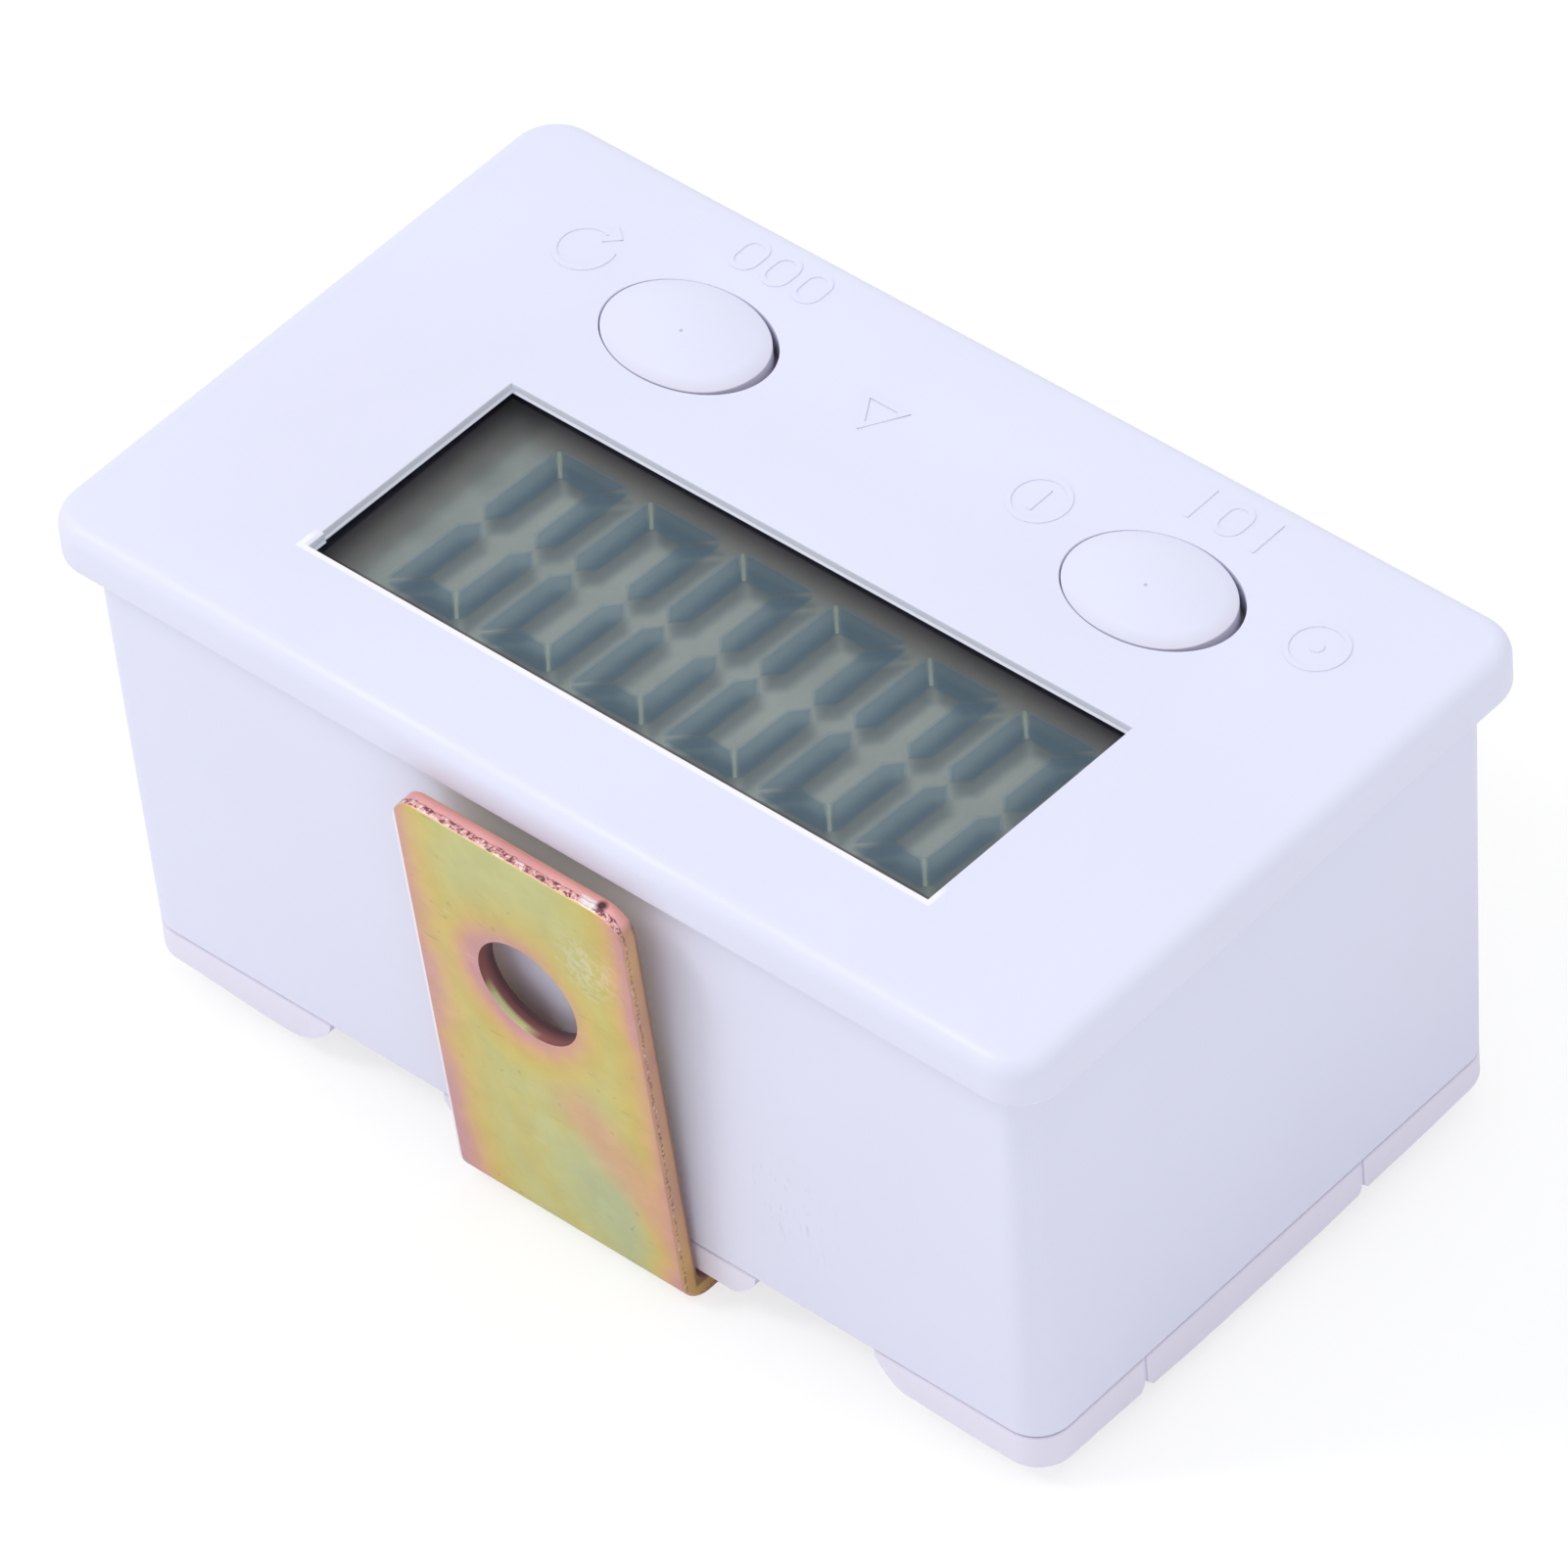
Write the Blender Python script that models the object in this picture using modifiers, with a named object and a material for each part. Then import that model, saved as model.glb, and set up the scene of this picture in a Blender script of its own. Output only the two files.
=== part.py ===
# A small panel-mount electronic tally counter in a white moulded case, on a folded steel strap
# Metres, +Z up. +X runs along the long side, to the left of someone who reads the display.
# The origin is under the middle of the strap's web, on the surface that the counter stands on.
import math

import bmesh
import bpy
from mathutils import Matrix, Vector

# Gaps
CLEARANCE = 0.0003             # between pieces that rest on one another
FIT = 0.0002                   # around a shank, pin, plunger or button in its hole
SEAM_GAP = 0.0002              # between the case's bottom edge and the rear cover's rim
OVERRUN = 0.0010               # how far a cutter passes a face, or a joined piece goes into one

# Face of the case
WINDOW_LENGTH = 0.0377
WINDOW_WIDTH = 0.0139
MARGIN_LEFT = 0.01065          # window to the reader's left end, at +X
MARGIN_RIGHT = 0.01165         # window to the reader's right end, at -X
MARGIN_NEAR = 0.0061           # window to the edge above it, at -Y
MARGIN_FAR = 0.0049            # button holes to the edge below them, at +Y
BUTTON_ROW_GAP = 0.0038        # window to the button holes
BUTTON_PITCH = 0.0282
BUTTON_ROW_OFFSET = 0.0004     # the row's middle lies this far towards +X
BUTTON_HOLE_LENGTH = 0.0095
BUTTON_HOLE_WIDTH = 0.0069

# Case shell
FLANGE_THICKNESS = 0.0027
FLANGE_OVERHANG_X = 0.0018
FLANGE_OVERHANG_Y = 0.00135
FLANGE_CORNER = 0.0025
FLANGE_FILLET = 0.0009
BODY_HEIGHT = 0.0237           # case bottom edge to the flange's underside
BODY_DRAFT = 0.00014           # how far each side leans in at the bottom
BODY_CORNER_TOP = 0.0011
BODY_CORNER_FOOT = 0.0019
WALL = 0.0015
FACE_WALL = 0.0016
WINDOW_WALL = 0.0008           # the face is thinner around the window
CAVITY_CORNER = 0.0006

# Rear cover
COVER_THICKNESS = 0.0019
COVER_LIP_HEIGHT = 0.0018
COVER_LIP_WALL = 0.0012
NOTCH_LENGTH = 0.0072          # finger notches on the long sides
NOTCH_DEPTH = 0.0020
TAB_LENGTH = 0.0195            # long middle piece of the rim between two notches
TAB_OFFSET = 0.00095           # its middle lies this far towards +X
SLOT_WIDTH = 0.0004            # slots on the short sides
SLOT_DEPTH = 0.0014
END_TAB_LENGTH = 0.0152        # middle piece of the rim between two slots
END_TAB_OFFSET = -0.0013       # its middle, along Y
ARM_LENGTH = 0.0080            # the spring arms that hold the cover in the case
ARM_THICKNESS = 0.0011
ARM_HEIGHT = 0.0062
ARM_NIB = 0.0002
CRADLE_THICKNESS = 0.0012      # ribs that keep the battery up
CRADLE_WIDTH = 0.0080
CRADLE_PITCH = 0.0220

# Strap
STRAP_THICKNESS = 0.0010
STRAP_WIDTH = 0.0140
STRAP_BEND = 0.0006            # inner radius of the fold
NEAR_EAR_CORNER = 0.0015
FAR_EAR_CORNER = 0.0038
STRAP_OFFSET = 0.0002          # the strap's middle lies this far towards +X
NEAR_EAR_HEIGHT = 0.0266       # top edge above the floor
FAR_EAR_HEIGHT = 0.0274
NEAR_EAR_LEAN = 0.00165        # how far the top edge leans out
FAR_EAR_LEAN = 0.0016
EAR_HOLE_RADIUS = 0.0030
EAR_HOLE_HEIGHT = 0.0175

# Strap screws and their inserts
SCREW_PITCH = 0.0160           # between the two screws, along Y
SCREW_RADIUS = 0.0015
SCREW_LENGTH = 0.0078
SCREW_HEAD_RADIUS = 0.0027
SCREW_HEAD_HEIGHT = 0.0013
SCREW_HEAD_SINK = 0.0001
DRIVER_SLOT_WIDTH = 0.0006
DRIVER_SLOT_DEPTH = 0.0005
INSERT_WALL = 0.0007
INSERT_LENGTH = 0.0042
BOSS_WALL = 0.0010

# Display
GLASS_THICKNESS = 0.0011       # each of its two glasses
GLASS_BORDER_X = 0.0015
GLASS_BORDER_Y = 0.0019
CONTACT_LEDGE = 0.0016         # strip of the front glass that the rear one leaves free
HOLDER_WALL = 0.0006
ZEBRA_WIDTH = 0.0010

# Circuit board and what is on it
BOARD_THICKNESS = 0.0012
BOARD_DEPTH = 0.0062           # face of the case to the board's upper side
BOARD_SCREW_RADIUS = 0.0008
BOARD_SCREW_LENGTH = 0.0048
BOARD_SCREW_HEAD_RADIUS = 0.0016
BOARD_SCREW_HEAD_HEIGHT = 0.0010
BOARD_SCREW_INSET = 0.0018
BOARD_BOSS_WALL = 0.0007
BOARD_HOOK_LENGTH = 0.0040
BOARD_HOOK_REACH = 0.0009
BOARD_HOOK_PITCH = 0.0300
SWITCH_SIZE = 0.0060
SWITCH_HEIGHT = 0.0025
SWITCH_FLOOR = 0.0007
PLUNGER_RADIUS = 0.0017
BUTTON_TRAVEL = 0.0005
BUTTON_DOME = 0.0006           # top of the dome above its edge
BUTTON_EDGE_RISE = 0.0002      # edge of the dome above the face
BUTTON_LIP = 0.0006            # rim that keeps the cap in the case
BUTTON_LIP_THICKNESS = 0.0007
CHIP_RADIUS = 0.0038
CHIP_HEIGHT = 0.0016
CHIP_ROW = 0.0084              # its middle from the far wall of the cavity
CAPACITOR_RADIUS = 0.0025
CAPACITOR_HEIGHT = 0.0070
CAPACITOR_PLACE = 0.0080       # its middle from the cavity's -X end
CRYSTAL_RADIUS = 0.0010
CRYSTAL_LENGTH = 0.0062

# Battery and its holder
BATTERY_RADIUS = 0.00525
BATTERY_LENGTH = 0.0445
BATTERY_BUTTON_RADIUS = 0.0019
BATTERY_BUTTON_LENGTH = 0.0009
TRAY_WALL = 0.0009
TRAY_DEPTH = 0.0075
TRAY_SLACK = 0.0010            # room for the contacts at each end
CONTACT_THICKNESS = 0.0003
CONTACT_WIDTH = 0.0060

# Input jack in the far wall
JACK_WIDTH = 0.0076
JACK_LENGTH = 0.0105
JACK_HEIGHT = 0.0070
JACK_PLACE = 0.0105            # its middle from the cavity's +X end
JACK_BORE_RADIUS = 0.0018
JACK_SLEEVE_WALL = 0.0008
JACK_SLEEVE_LENGTH = 0.0036
JACK_BORE_DEPTH = 0.0090
JACK_LEAF_WIDTH = 0.0012
JACK_LEAF_LENGTH = 0.0060
JACK_LEAF_THICKNESS = 0.0004

# Counts
ROUND_STEPS = 24
CORNER_STEPS = 5
OVAL_STEPS = 40
BEND_STEPS = 5

# Lengths along X and Y
tray_length = BATTERY_LENGTH + BATTERY_BUTTON_LENGTH + 2 * (TRAY_SLACK + TRAY_WALL)
face_length = MARGIN_LEFT + WINDOW_LENGTH + MARGIN_RIGHT
face_width = MARGIN_NEAR + WINDOW_WIDTH + BUTTON_ROW_GAP + BUTTON_HOLE_WIDTH + MARGIN_FAR
body_length = max(face_length - 2 * FLANGE_OVERHANG_X,
                  tray_length + 2 * (2 * CLEARANCE + ARM_THICKNESS + BODY_DRAFT + WALL))
flange_length = body_length + 2 * FLANGE_OVERHANG_X
flange_half = Vector((flange_length / 2, face_width / 2))
body_half = Vector((body_length / 2, face_width / 2 - FLANGE_OVERHANG_Y))
foot_half = body_half - Vector((BODY_DRAFT, BODY_DRAFT))
cavity_half = foot_half - Vector((WALL, WALL))

# Heights
cover_bottom = STRAP_THICKNESS + CLEARANCE
cover_top = cover_bottom + COVER_THICKNESS
case_bottom = cover_top + SEAM_GAP
flange_under = case_bottom + BODY_HEIGHT
face_top = flange_under + FLANGE_THICKNESS
face_under = face_top - FACE_WALL
glass_top = face_top - WINDOW_WALL - CLEARANCE
ledge_under = glass_top - GLASS_THICKNESS
glass_bottom = ledge_under - GLASS_THICKNESS
board_top = face_top - BOARD_DEPTH
board_bottom = board_top - BOARD_THICKNESS
below_board = board_bottom - CLEARANCE

# Places on the face
window_mid = Vector(((MARGIN_RIGHT - MARGIN_LEFT) / 2, MARGIN_NEAR + WINDOW_WIDTH / 2 - face_width / 2))
window_half = Vector((WINDOW_LENGTH / 2, WINDOW_WIDTH / 2))
button_y = window_mid.y + window_half.y + BUTTON_ROW_GAP + BUTTON_HOLE_WIDTH / 2
button_x = {"reset": BUTTON_ROW_OFFSET - BUTTON_PITCH / 2, "power": BUTTON_ROW_OFFSET + BUTTON_PITCH / 2}
glass_half = window_half + Vector((GLASS_BORDER_X, GLASS_BORDER_Y))

for item in list(bpy.data.objects):
    bpy.data.objects.remove(item, do_unlink=True)
parts = bpy.data.collections.new("tally_counter")
cutters = bpy.data.collections.new("cutters")
for group in (parts, cutters):
    bpy.context.scene.collection.children.link(group)


def make_material(name, colour, roughness, metallic=0.0):
    material = bpy.data.materials.new(name)
    material.use_nodes = True
    shader = material.node_tree.nodes["Principled BSDF"]
    shader.inputs["Base Color"].default_value = (*colour, 1.0)
    shader.inputs["Roughness"].default_value = roughness
    shader.inputs["Metallic"].default_value = metallic
    return material


materials = {
    "white plastic": make_material("white plastic", (0.80, 0.80, 0.87), 0.45),
    "glass": make_material("display glass", (0.30, 0.36, 0.36), 0.10),
    "black plastic": make_material("black plastic", (0.03, 0.03, 0.03), 0.50),
    "rubber": make_material("conductive rubber", (0.10, 0.10, 0.10), 0.80),
    "board": make_material("board", (0.05, 0.22, 0.10), 0.45),
    "zinc": make_material("yellow zinc", (0.70, 0.58, 0.22), 0.35, 1.0),
    "steel": make_material("bright steel", (0.60, 0.60, 0.60), 0.30, 1.0),
    "brass": make_material("brass", (0.75, 0.58, 0.28), 0.30, 1.0),
    "battery": make_material("battery wrap", (0.10, 0.12, 0.16), 0.35),
}


def place(item, group=parts):
    for owner in list(item.users_collection):
        owner.objects.unlink(item)
    group.objects.link(item)
    if group is cutters:
        item.hide_render = True
        item.display_type = "WIRE"
    return item


def finish(item, name, material, origin=None):
    # Names the piece, shades it and puts its origin where it moves from
    item.name = name
    item.data.name = name
    item.data.materials.clear()
    item.data.materials.append(materials[material])
    item.data.shade_smooth()
    item.data.set_sharp_from_angle(angle=math.radians(30))
    if origin is not None:
        shift = Vector(origin)
        item.data.transform(Matrix.Translation(item.location - shift))
        item.location = shift
    return place(item)


def from_bmesh(name, mesh_data):
    mesh = bpy.data.meshes.new(name)
    bmesh.ops.recalc_face_normals(mesh_data, faces=mesh_data.faces)
    mesh_data.to_mesh(mesh)
    mesh_data.free()
    item = bpy.data.objects.new(name, mesh)
    parts.objects.link(item)
    return item


def rounded_outline(half, radius, middle=(0.0, 0.0)):
    points = []
    for sign_x, sign_y, start in ((1, 1, 0), (-1, 1, 1), (-1, -1, 2), (1, -1, 3)):
        corner_x = middle[0] + sign_x * (half[0] - radius)
        corner_y = middle[1] + sign_y * (half[1] - radius)
        for step in range(CORNER_STEPS + 1):
            angle = (start + step / CORNER_STEPS) * math.pi / 2
            points.append((corner_x + radius * math.cos(angle), corner_y + radius * math.sin(angle)))
    return points


def oval_outline(half, middle=(0.0, 0.0), steps=OVAL_STEPS):
    turns = [2 * math.pi * step / steps for step in range(steps)]
    return [(middle[0] + half[0] * math.cos(turn), middle[1] + half[1] * math.sin(turn)) for turn in turns]


def sheet(name, outlines, thickness):
    # A flat outline with its holes, filled and extruded about z = 0, as a welded mesh
    curve = bpy.data.curves.new(name, "CURVE")
    curve.dimensions = "2D"
    curve.fill_mode = "BOTH"
    curve.extrude = thickness / 2
    for outline in outlines:
        spline = curve.splines.new("POLY")
        spline.points.add(len(outline) - 1)
        for point, (x, y) in zip(spline.points, outline):
            point.co = (x, y, 0.0, 1.0)
        spline.use_cyclic_u = True
    guide = bpy.data.objects.new(name, curve)
    parts.objects.link(guide)
    bpy.context.view_layer.update()
    mesh = bpy.data.meshes.new_from_object(guide.evaluated_get(bpy.context.evaluated_depsgraph_get()))
    bpy.data.objects.remove(guide, do_unlink=True)
    welded = bmesh.new()
    welded.from_mesh(mesh)
    bmesh.ops.remove_doubles(welded, verts=welded.verts, dist=FIT / 100)
    bpy.data.meshes.remove(mesh)
    return from_bmesh(name, welded)


def prism(name, outlines, bottom, top):
    item = sheet(name, outlines, top - bottom)
    item.data.transform(Matrix.Translation((0.0, 0.0, (bottom + top) / 2)))
    return item


def side_prism(name, outline, start, end):
    # An outline in Y and Z, extruded along X
    item = sheet(name, [outline], end - start)
    turn = Matrix(((0, 0, 1, 0), (1, 0, 0, 0), (0, 1, 0, 0), (0, 0, 0, 1)))
    item.data.transform(Matrix.Translation(((start + end) / 2, 0.0, 0.0)) @ turn)
    return item


def loft(name, bottom_outline, bottom, top_outline, top):
    # Joins two unlike outlines that have the same number of points
    shape = bmesh.new()
    low = [shape.verts.new((x, y, bottom)) for x, y in bottom_outline]
    high = [shape.verts.new((x, y, top)) for x, y in top_outline]
    for index in range(len(low)):
        after = (index + 1) % len(low)
        shape.faces.new((low[index], low[after], high[after], high[index]))
    shape.faces.new(list(reversed(low)))
    shape.faces.new(high)
    return from_bmesh(name, shape)


def block(name, low, high):
    bpy.ops.mesh.primitive_cube_add(size=1)
    item = bpy.context.active_object
    low, high = Vector(low), Vector(high)
    size = high - low
    item.data.transform(Matrix.Translation((low + high) / 2) @ Matrix.Diagonal((*size, 1.0)))
    item.name = name
    return item


def rod(name, radius, start, end, tip_radius=None, steps=ROUND_STEPS):
    start, end = Vector(start), Vector(end)
    along = end - start
    shape = bmesh.new()
    turn = along.to_track_quat("Z", "Y").to_matrix().to_4x4()
    bmesh.ops.create_cone(shape, cap_ends=True, segments=steps, radius1=radius,
                          radius2=radius if tip_radius is None else tip_radius,
                          depth=along.length, matrix=Matrix.Translation((start + end) / 2) @ turn)
    return from_bmesh(name, shape)


def turned(name, profile, steps=ROUND_STEPS):
    # A profile of (radius, height) points from the top down, turned about Z
    mesh = bpy.data.meshes.new(name)
    edges = [(index, index + 1) for index in range(len(profile) - 1)]
    mesh.from_pydata([(radius, 0.0, height) for radius, height in profile], edges, [])
    item = bpy.data.objects.new(name, mesh)
    parts.objects.link(item)
    screw = item.modifiers.new("Turn", "SCREW")
    screw.steps = screw.render_steps = steps
    screw.use_merge_vertices = True
    screw.merge_threshold = FIT / 100
    return item


def combine(item, tool, operation):
    step = item.modifiers.new(tool.name, "BOOLEAN")
    step.operation = operation
    step.solver = "EXACT"
    step.object = place(tool, cutters)
    return item


def cut(item, *tools):
    for tool in tools:
        combine(item, tool, "DIFFERENCE")
    return item


def join(item, *tools):
    for tool in tools:
        combine(item, tool, "UNION")
    return item


# Board places, shared by the case's bosses and the screws
board_half = cavity_half - Vector((CLEARANCE, CLEARANCE))
board_screw_y = board_half.y - BOARD_SCREW_INSET
board_screw_x = {"left": board_half.x - BOARD_SCREW_INSET, "middle": BUTTON_ROW_OFFSET,
                 "right": BOARD_SCREW_INSET - board_half.x}
board_boss_radius = BOARD_SCREW_RADIUS + FIT + BOARD_BOSS_WALL
jack_x = cavity_half.x - JACK_PLACE
jack_axis = below_board - JACK_HEIGHT / 2
jack_sleeve_radius = JACK_BORE_RADIUS + JACK_SLEEVE_WALL


def window_cutter():
    low = (*(window_mid - window_half), face_top - WINDOW_WALL - OVERRUN)
    high = (*(window_mid + window_half), face_top + OVERRUN)
    return block("cut_window", low, high)


def glass_pocket():
    half = glass_half + Vector((FIT, FIT))
    low = (*(window_mid - half), face_under - OVERRUN)
    high = (*(window_mid + half), face_top - WINDOW_WALL)
    return block("cut_glass_pocket", low, high)


def board_boss(name, x):
    reach = face_under + FACE_WALL / 2
    return rod(f"boss_{name}", board_boss_radius, (x, board_screw_y, board_top + CLEARANCE),
               (x, board_screw_y, reach))


def board_boss_bore(name, x):
    bore_top = board_top + CLEARANCE + BOARD_SCREW_LENGTH - BOARD_THICKNESS
    return rod(f"bore_{name}", BOARD_SCREW_RADIUS + FIT, (x, board_screw_y, board_top - OVERRUN),
               (x, board_screw_y, min(bore_top, face_under)))


def board_hook(side):
    # A ledge on the near wall that the board's edge slips over
    middle = side * BOARD_HOOK_PITCH / 2
    low = (middle - BOARD_HOOK_LENGTH / 2, -cavity_half.y - WALL / 2, below_board - BOARD_HOOK_REACH)
    high = (middle + BOARD_HOOK_LENGTH / 2, BOARD_HOOK_REACH - cavity_half.y, below_board)
    return block("hook_left" if side > 0 else "hook_right", low, high)


def make_case():
    flange = prism("case_shell", [rounded_outline(flange_half, FLANGE_CORNER)], flange_under, face_top)
    weights = flange.data.attributes.new("bevel_weight_edge", "FLOAT", "EDGE")
    rims = set()
    for face in flange.data.polygons:
        if abs(face.normal.z) < 1 / 2:
            rims.update(face.edge_keys)
    for edge in flange.data.edges:
        at_top = all(flange.data.vertices[index].co.z > face_top - FIT for index in edge.vertices)
        weights.data[edge.index].value = 1.0 if at_top and edge.key in rims else 0.0
    fillet = flange.modifiers.new("Fillet", "BEVEL")
    fillet.limit_method = "WEIGHT"
    fillet.width = min(FLANGE_FILLET, FLANGE_THICKNESS / 2)
    fillet.segments = 3
    foot = rounded_outline(foot_half, BODY_CORNER_FOOT)
    head = rounded_outline(body_half, BODY_CORNER_TOP)
    join(flange, loft("body_outside", foot, case_bottom, head, flange_under + FLANGE_THICKNESS / 2))
    opening = rounded_outline(cavity_half, CAVITY_CORNER)
    cut(flange, prism("body_inside", [opening], case_bottom - OVERRUN, face_under))
    cut(flange, glass_pocket(), window_cutter())
    for name, x in button_x.items():
        hole = oval_outline((BUTTON_HOLE_LENGTH / 2, BUTTON_HOLE_WIDTH / 2), (x, button_y))
        cut(flange, prism(f"cut_{name}_hole", [hole], face_under - OVERRUN, face_top + OVERRUN))
    for name, x in board_screw_x.items():
        join(flange, board_boss(name, x))
        cut(flange, board_boss_bore(name, x))
    join(flange, board_hook(1), board_hook(-1))
    cut(flange, rod("cut_jack_hole", jack_sleeve_radius + FIT, (jack_x, cavity_half.y - OVERRUN, jack_axis),
                    (jack_x, body_half.y + OVERRUN, jack_axis)))
    return finish(flange, "case_shell", "white plastic")


def make_display():
    panel = block("lcd_panel", (*(window_mid - glass_half), ledge_under),
                  (*(window_mid + glass_half), glass_top))
    rear_half = glass_half - Vector((0.0, CONTACT_LEDGE))
    join(panel, block("rear_glass", (*(window_mid - rear_half), glass_bottom),
                      (*(window_mid + rear_half), ledge_under + GLASS_THICKNESS / 2)))
    finish(panel, "lcd_panel", "glass")

    holder_half = glass_half + Vector((FIT + HOLDER_WALL, FIT + HOLDER_WALL))
    holder = block("display_holder", (*(window_mid - holder_half), board_top + CLEARANCE),
                   (*(window_mid + holder_half), face_under - CLEARANCE))
    pocket_half = glass_half + Vector((FIT, FIT))
    cut(holder, block("cut_front_pocket", (*(window_mid - pocket_half), ledge_under - CLEARANCE),
                      (*(window_mid + pocket_half), face_top)))
    rear_pocket = rear_half + Vector((FIT, FIT))
    cut(holder, block("cut_rear_pocket", (*(window_mid - rear_pocket), glass_bottom - CLEARANCE),
                      (*(window_mid + rear_pocket), face_top)))
    zebra_y = glass_half.y - CONTACT_LEDGE / 2
    zebra_half = Vector((glass_half.x - FIT, ZEBRA_WIDTH / 2))
    for side, name in ((-1, "zebra_strip_near"), (1, "zebra_strip_far")):
        middle = window_mid + Vector((0.0, side * zebra_y))
        slot_half = zebra_half + Vector((FIT, FIT))
        cut(holder, block(f"cut_{name}", (*(middle - slot_half), board_top - OVERRUN),
                          (*(middle + slot_half), face_top)))
        strip = block(name, (*(middle - zebra_half), board_top + CLEARANCE),
                      (*(middle + zebra_half), ledge_under - CLEARANCE))
        finish(strip, name, "rubber")
    finish(holder, "display_holder", "black plastic")


def make_board():
    board = prism("main_board", [rounded_outline(board_half, CAVITY_CORNER)], board_bottom, board_top)
    for name, x in board_screw_x.items():
        cut(board, rod(f"cut_board_{name}", BOARD_SCREW_RADIUS + FIT,
                       (x, board_screw_y, board_bottom - OVERRUN), (x, board_screw_y, board_top + OVERRUN)))
        head_bottom = below_board - BOARD_SCREW_HEAD_HEIGHT
        tip = below_board + BOARD_SCREW_LENGTH
        profile = [(0.0, tip), (BOARD_SCREW_RADIUS / 2, tip), (BOARD_SCREW_RADIUS, tip - BOARD_SCREW_RADIUS),
                   (BOARD_SCREW_RADIUS, below_board), (BOARD_SCREW_HEAD_RADIUS, below_board),
                   (BOARD_SCREW_HEAD_RADIUS, below_board - BOARD_SCREW_HEAD_HEIGHT / 2),
                   (BOARD_SCREW_RADIUS, head_bottom), (0.0, head_bottom)]
        screw = turned(f"board_screw_{name}", profile, ROUND_STEPS // 2)
        screw.location = (x, board_screw_y, 0.0)
        slot = BOARD_SCREW_HEAD_RADIUS / 4
        reach = Vector((BOARD_SCREW_HEAD_RADIUS, slot / 2))
        spot = Vector((x, board_screw_y))
        cut(screw, block(f"cut_driver_{name}", (*(spot - reach), head_bottom - OVERRUN),
                         (*(spot + reach), head_bottom + slot)))
        finish(screw, f"board_screw_{name}", "steel")
    finish(board, "main_board", "board")


def make_button(name):
    x = button_x[name]
    cap_half = Vector((BUTTON_HOLE_LENGTH / 2 - FIT, BUTTON_HOLE_WIDTH / 2 - FIT))
    lip_top = face_under - CLEARANCE
    lip_bottom = lip_top - BUTTON_LIP_THICKNESS
    edge = face_top + BUTTON_EDGE_RISE
    dome_steps = 6
    profile = [(cap_half.y * math.sin(turn), edge + BUTTON_DOME * math.cos(turn))
               for turn in (math.pi / 2 * step / dome_steps for step in range(dome_steps + 1))]
    profile += [(cap_half.y, lip_top), (cap_half.y + BUTTON_LIP, lip_top),
                (cap_half.y + BUTTON_LIP, lip_bottom), (0.0, lip_bottom)]
    cap = turned(f"{name}_button", profile, OVAL_STEPS)
    bpy.context.view_layer.update()
    mesh = bpy.data.meshes.new_from_object(cap.evaluated_get(bpy.context.evaluated_depsgraph_get()))
    cap.modifiers.clear()
    cap.data = mesh
    stretch = Matrix.Diagonal((cap_half.x / cap_half.y, 1.0, 1.0, 1.0))
    cap.data.transform(Matrix.Translation((x, button_y, 0.0)) @ stretch)
    finish(cap, f"{name}_button", "white plastic", (x, button_y, face_top))

    base_bottom = board_top + CLEARANCE
    base_top = base_bottom + SWITCH_HEIGHT
    plunger_top = lip_bottom - CLEARANCE
    plunger_bottom = base_bottom + SWITCH_FLOOR + BUTTON_TRAVEL + FIT
    half = SWITCH_SIZE / 2
    base = block(f"{name}_switch_base", (x - half, button_y - half, base_bottom),
                 (x + half, button_y + half, base_top))
    cut(base, rod(f"cut_{name}_plunger", PLUNGER_RADIUS + FIT, (x, button_y, base_bottom + SWITCH_FLOOR),
                  (x, button_y, base_top + OVERRUN)))
    finish(base, f"{name}_switch_base", "black plastic")
    plunger = rod(f"{name}_plunger", PLUNGER_RADIUS, (x, button_y, plunger_bottom), (x, button_y, plunger_top))
    finish(plunger, f"{name}_plunger", "black plastic", (x, button_y, plunger_top))


def make_board_parts():
    chip_y = cavity_half.y - CHIP_ROW
    chip_steps = 5
    profile = [(CHIP_RADIUS * math.sin(turn), -CHIP_HEIGHT * math.cos(turn))
               for turn in (math.pi / 2 * step / chip_steps for step in range(chip_steps + 1))]
    profile = [(radius, below_board + height) for radius, height in reversed(profile)]
    chip = turned("controller_blob", [(0.0, below_board)] + profile)
    chip.location = (BUTTON_ROW_OFFSET, chip_y, 0.0)
    finish(chip, "controller_blob", "black plastic")

    capacitor_x = CAPACITOR_PLACE - cavity_half.x
    can_bottom = below_board - CAPACITOR_HEIGHT
    groove = CAPACITOR_RADIUS / 10
    waist = CAPACITOR_RADIUS - groove
    profile = [(0.0, below_board), (CAPACITOR_RADIUS, below_board), (CAPACITOR_RADIUS, below_board - 2 * groove),
               (waist, below_board - 3 * groove), (CAPACITOR_RADIUS, below_board - 4 * groove),
               (CAPACITOR_RADIUS, can_bottom + groove), (waist, can_bottom), (0.0, can_bottom)]
    can = turned("capacitor", profile)
    can.location = (capacitor_x, chip_y, 0.0)
    finish(can, "capacitor", "battery")

    crystal_x = (capacitor_x + BUTTON_ROW_OFFSET) / 2
    crystal_z = below_board - CRYSTAL_RADIUS
    crystal = rod("crystal", CRYSTAL_RADIUS, (crystal_x, chip_y, crystal_z),
                  (crystal_x, chip_y + CRYSTAL_LENGTH, crystal_z), steps=ROUND_STEPS // 2)
    finish(crystal, "crystal", "steel")


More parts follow.
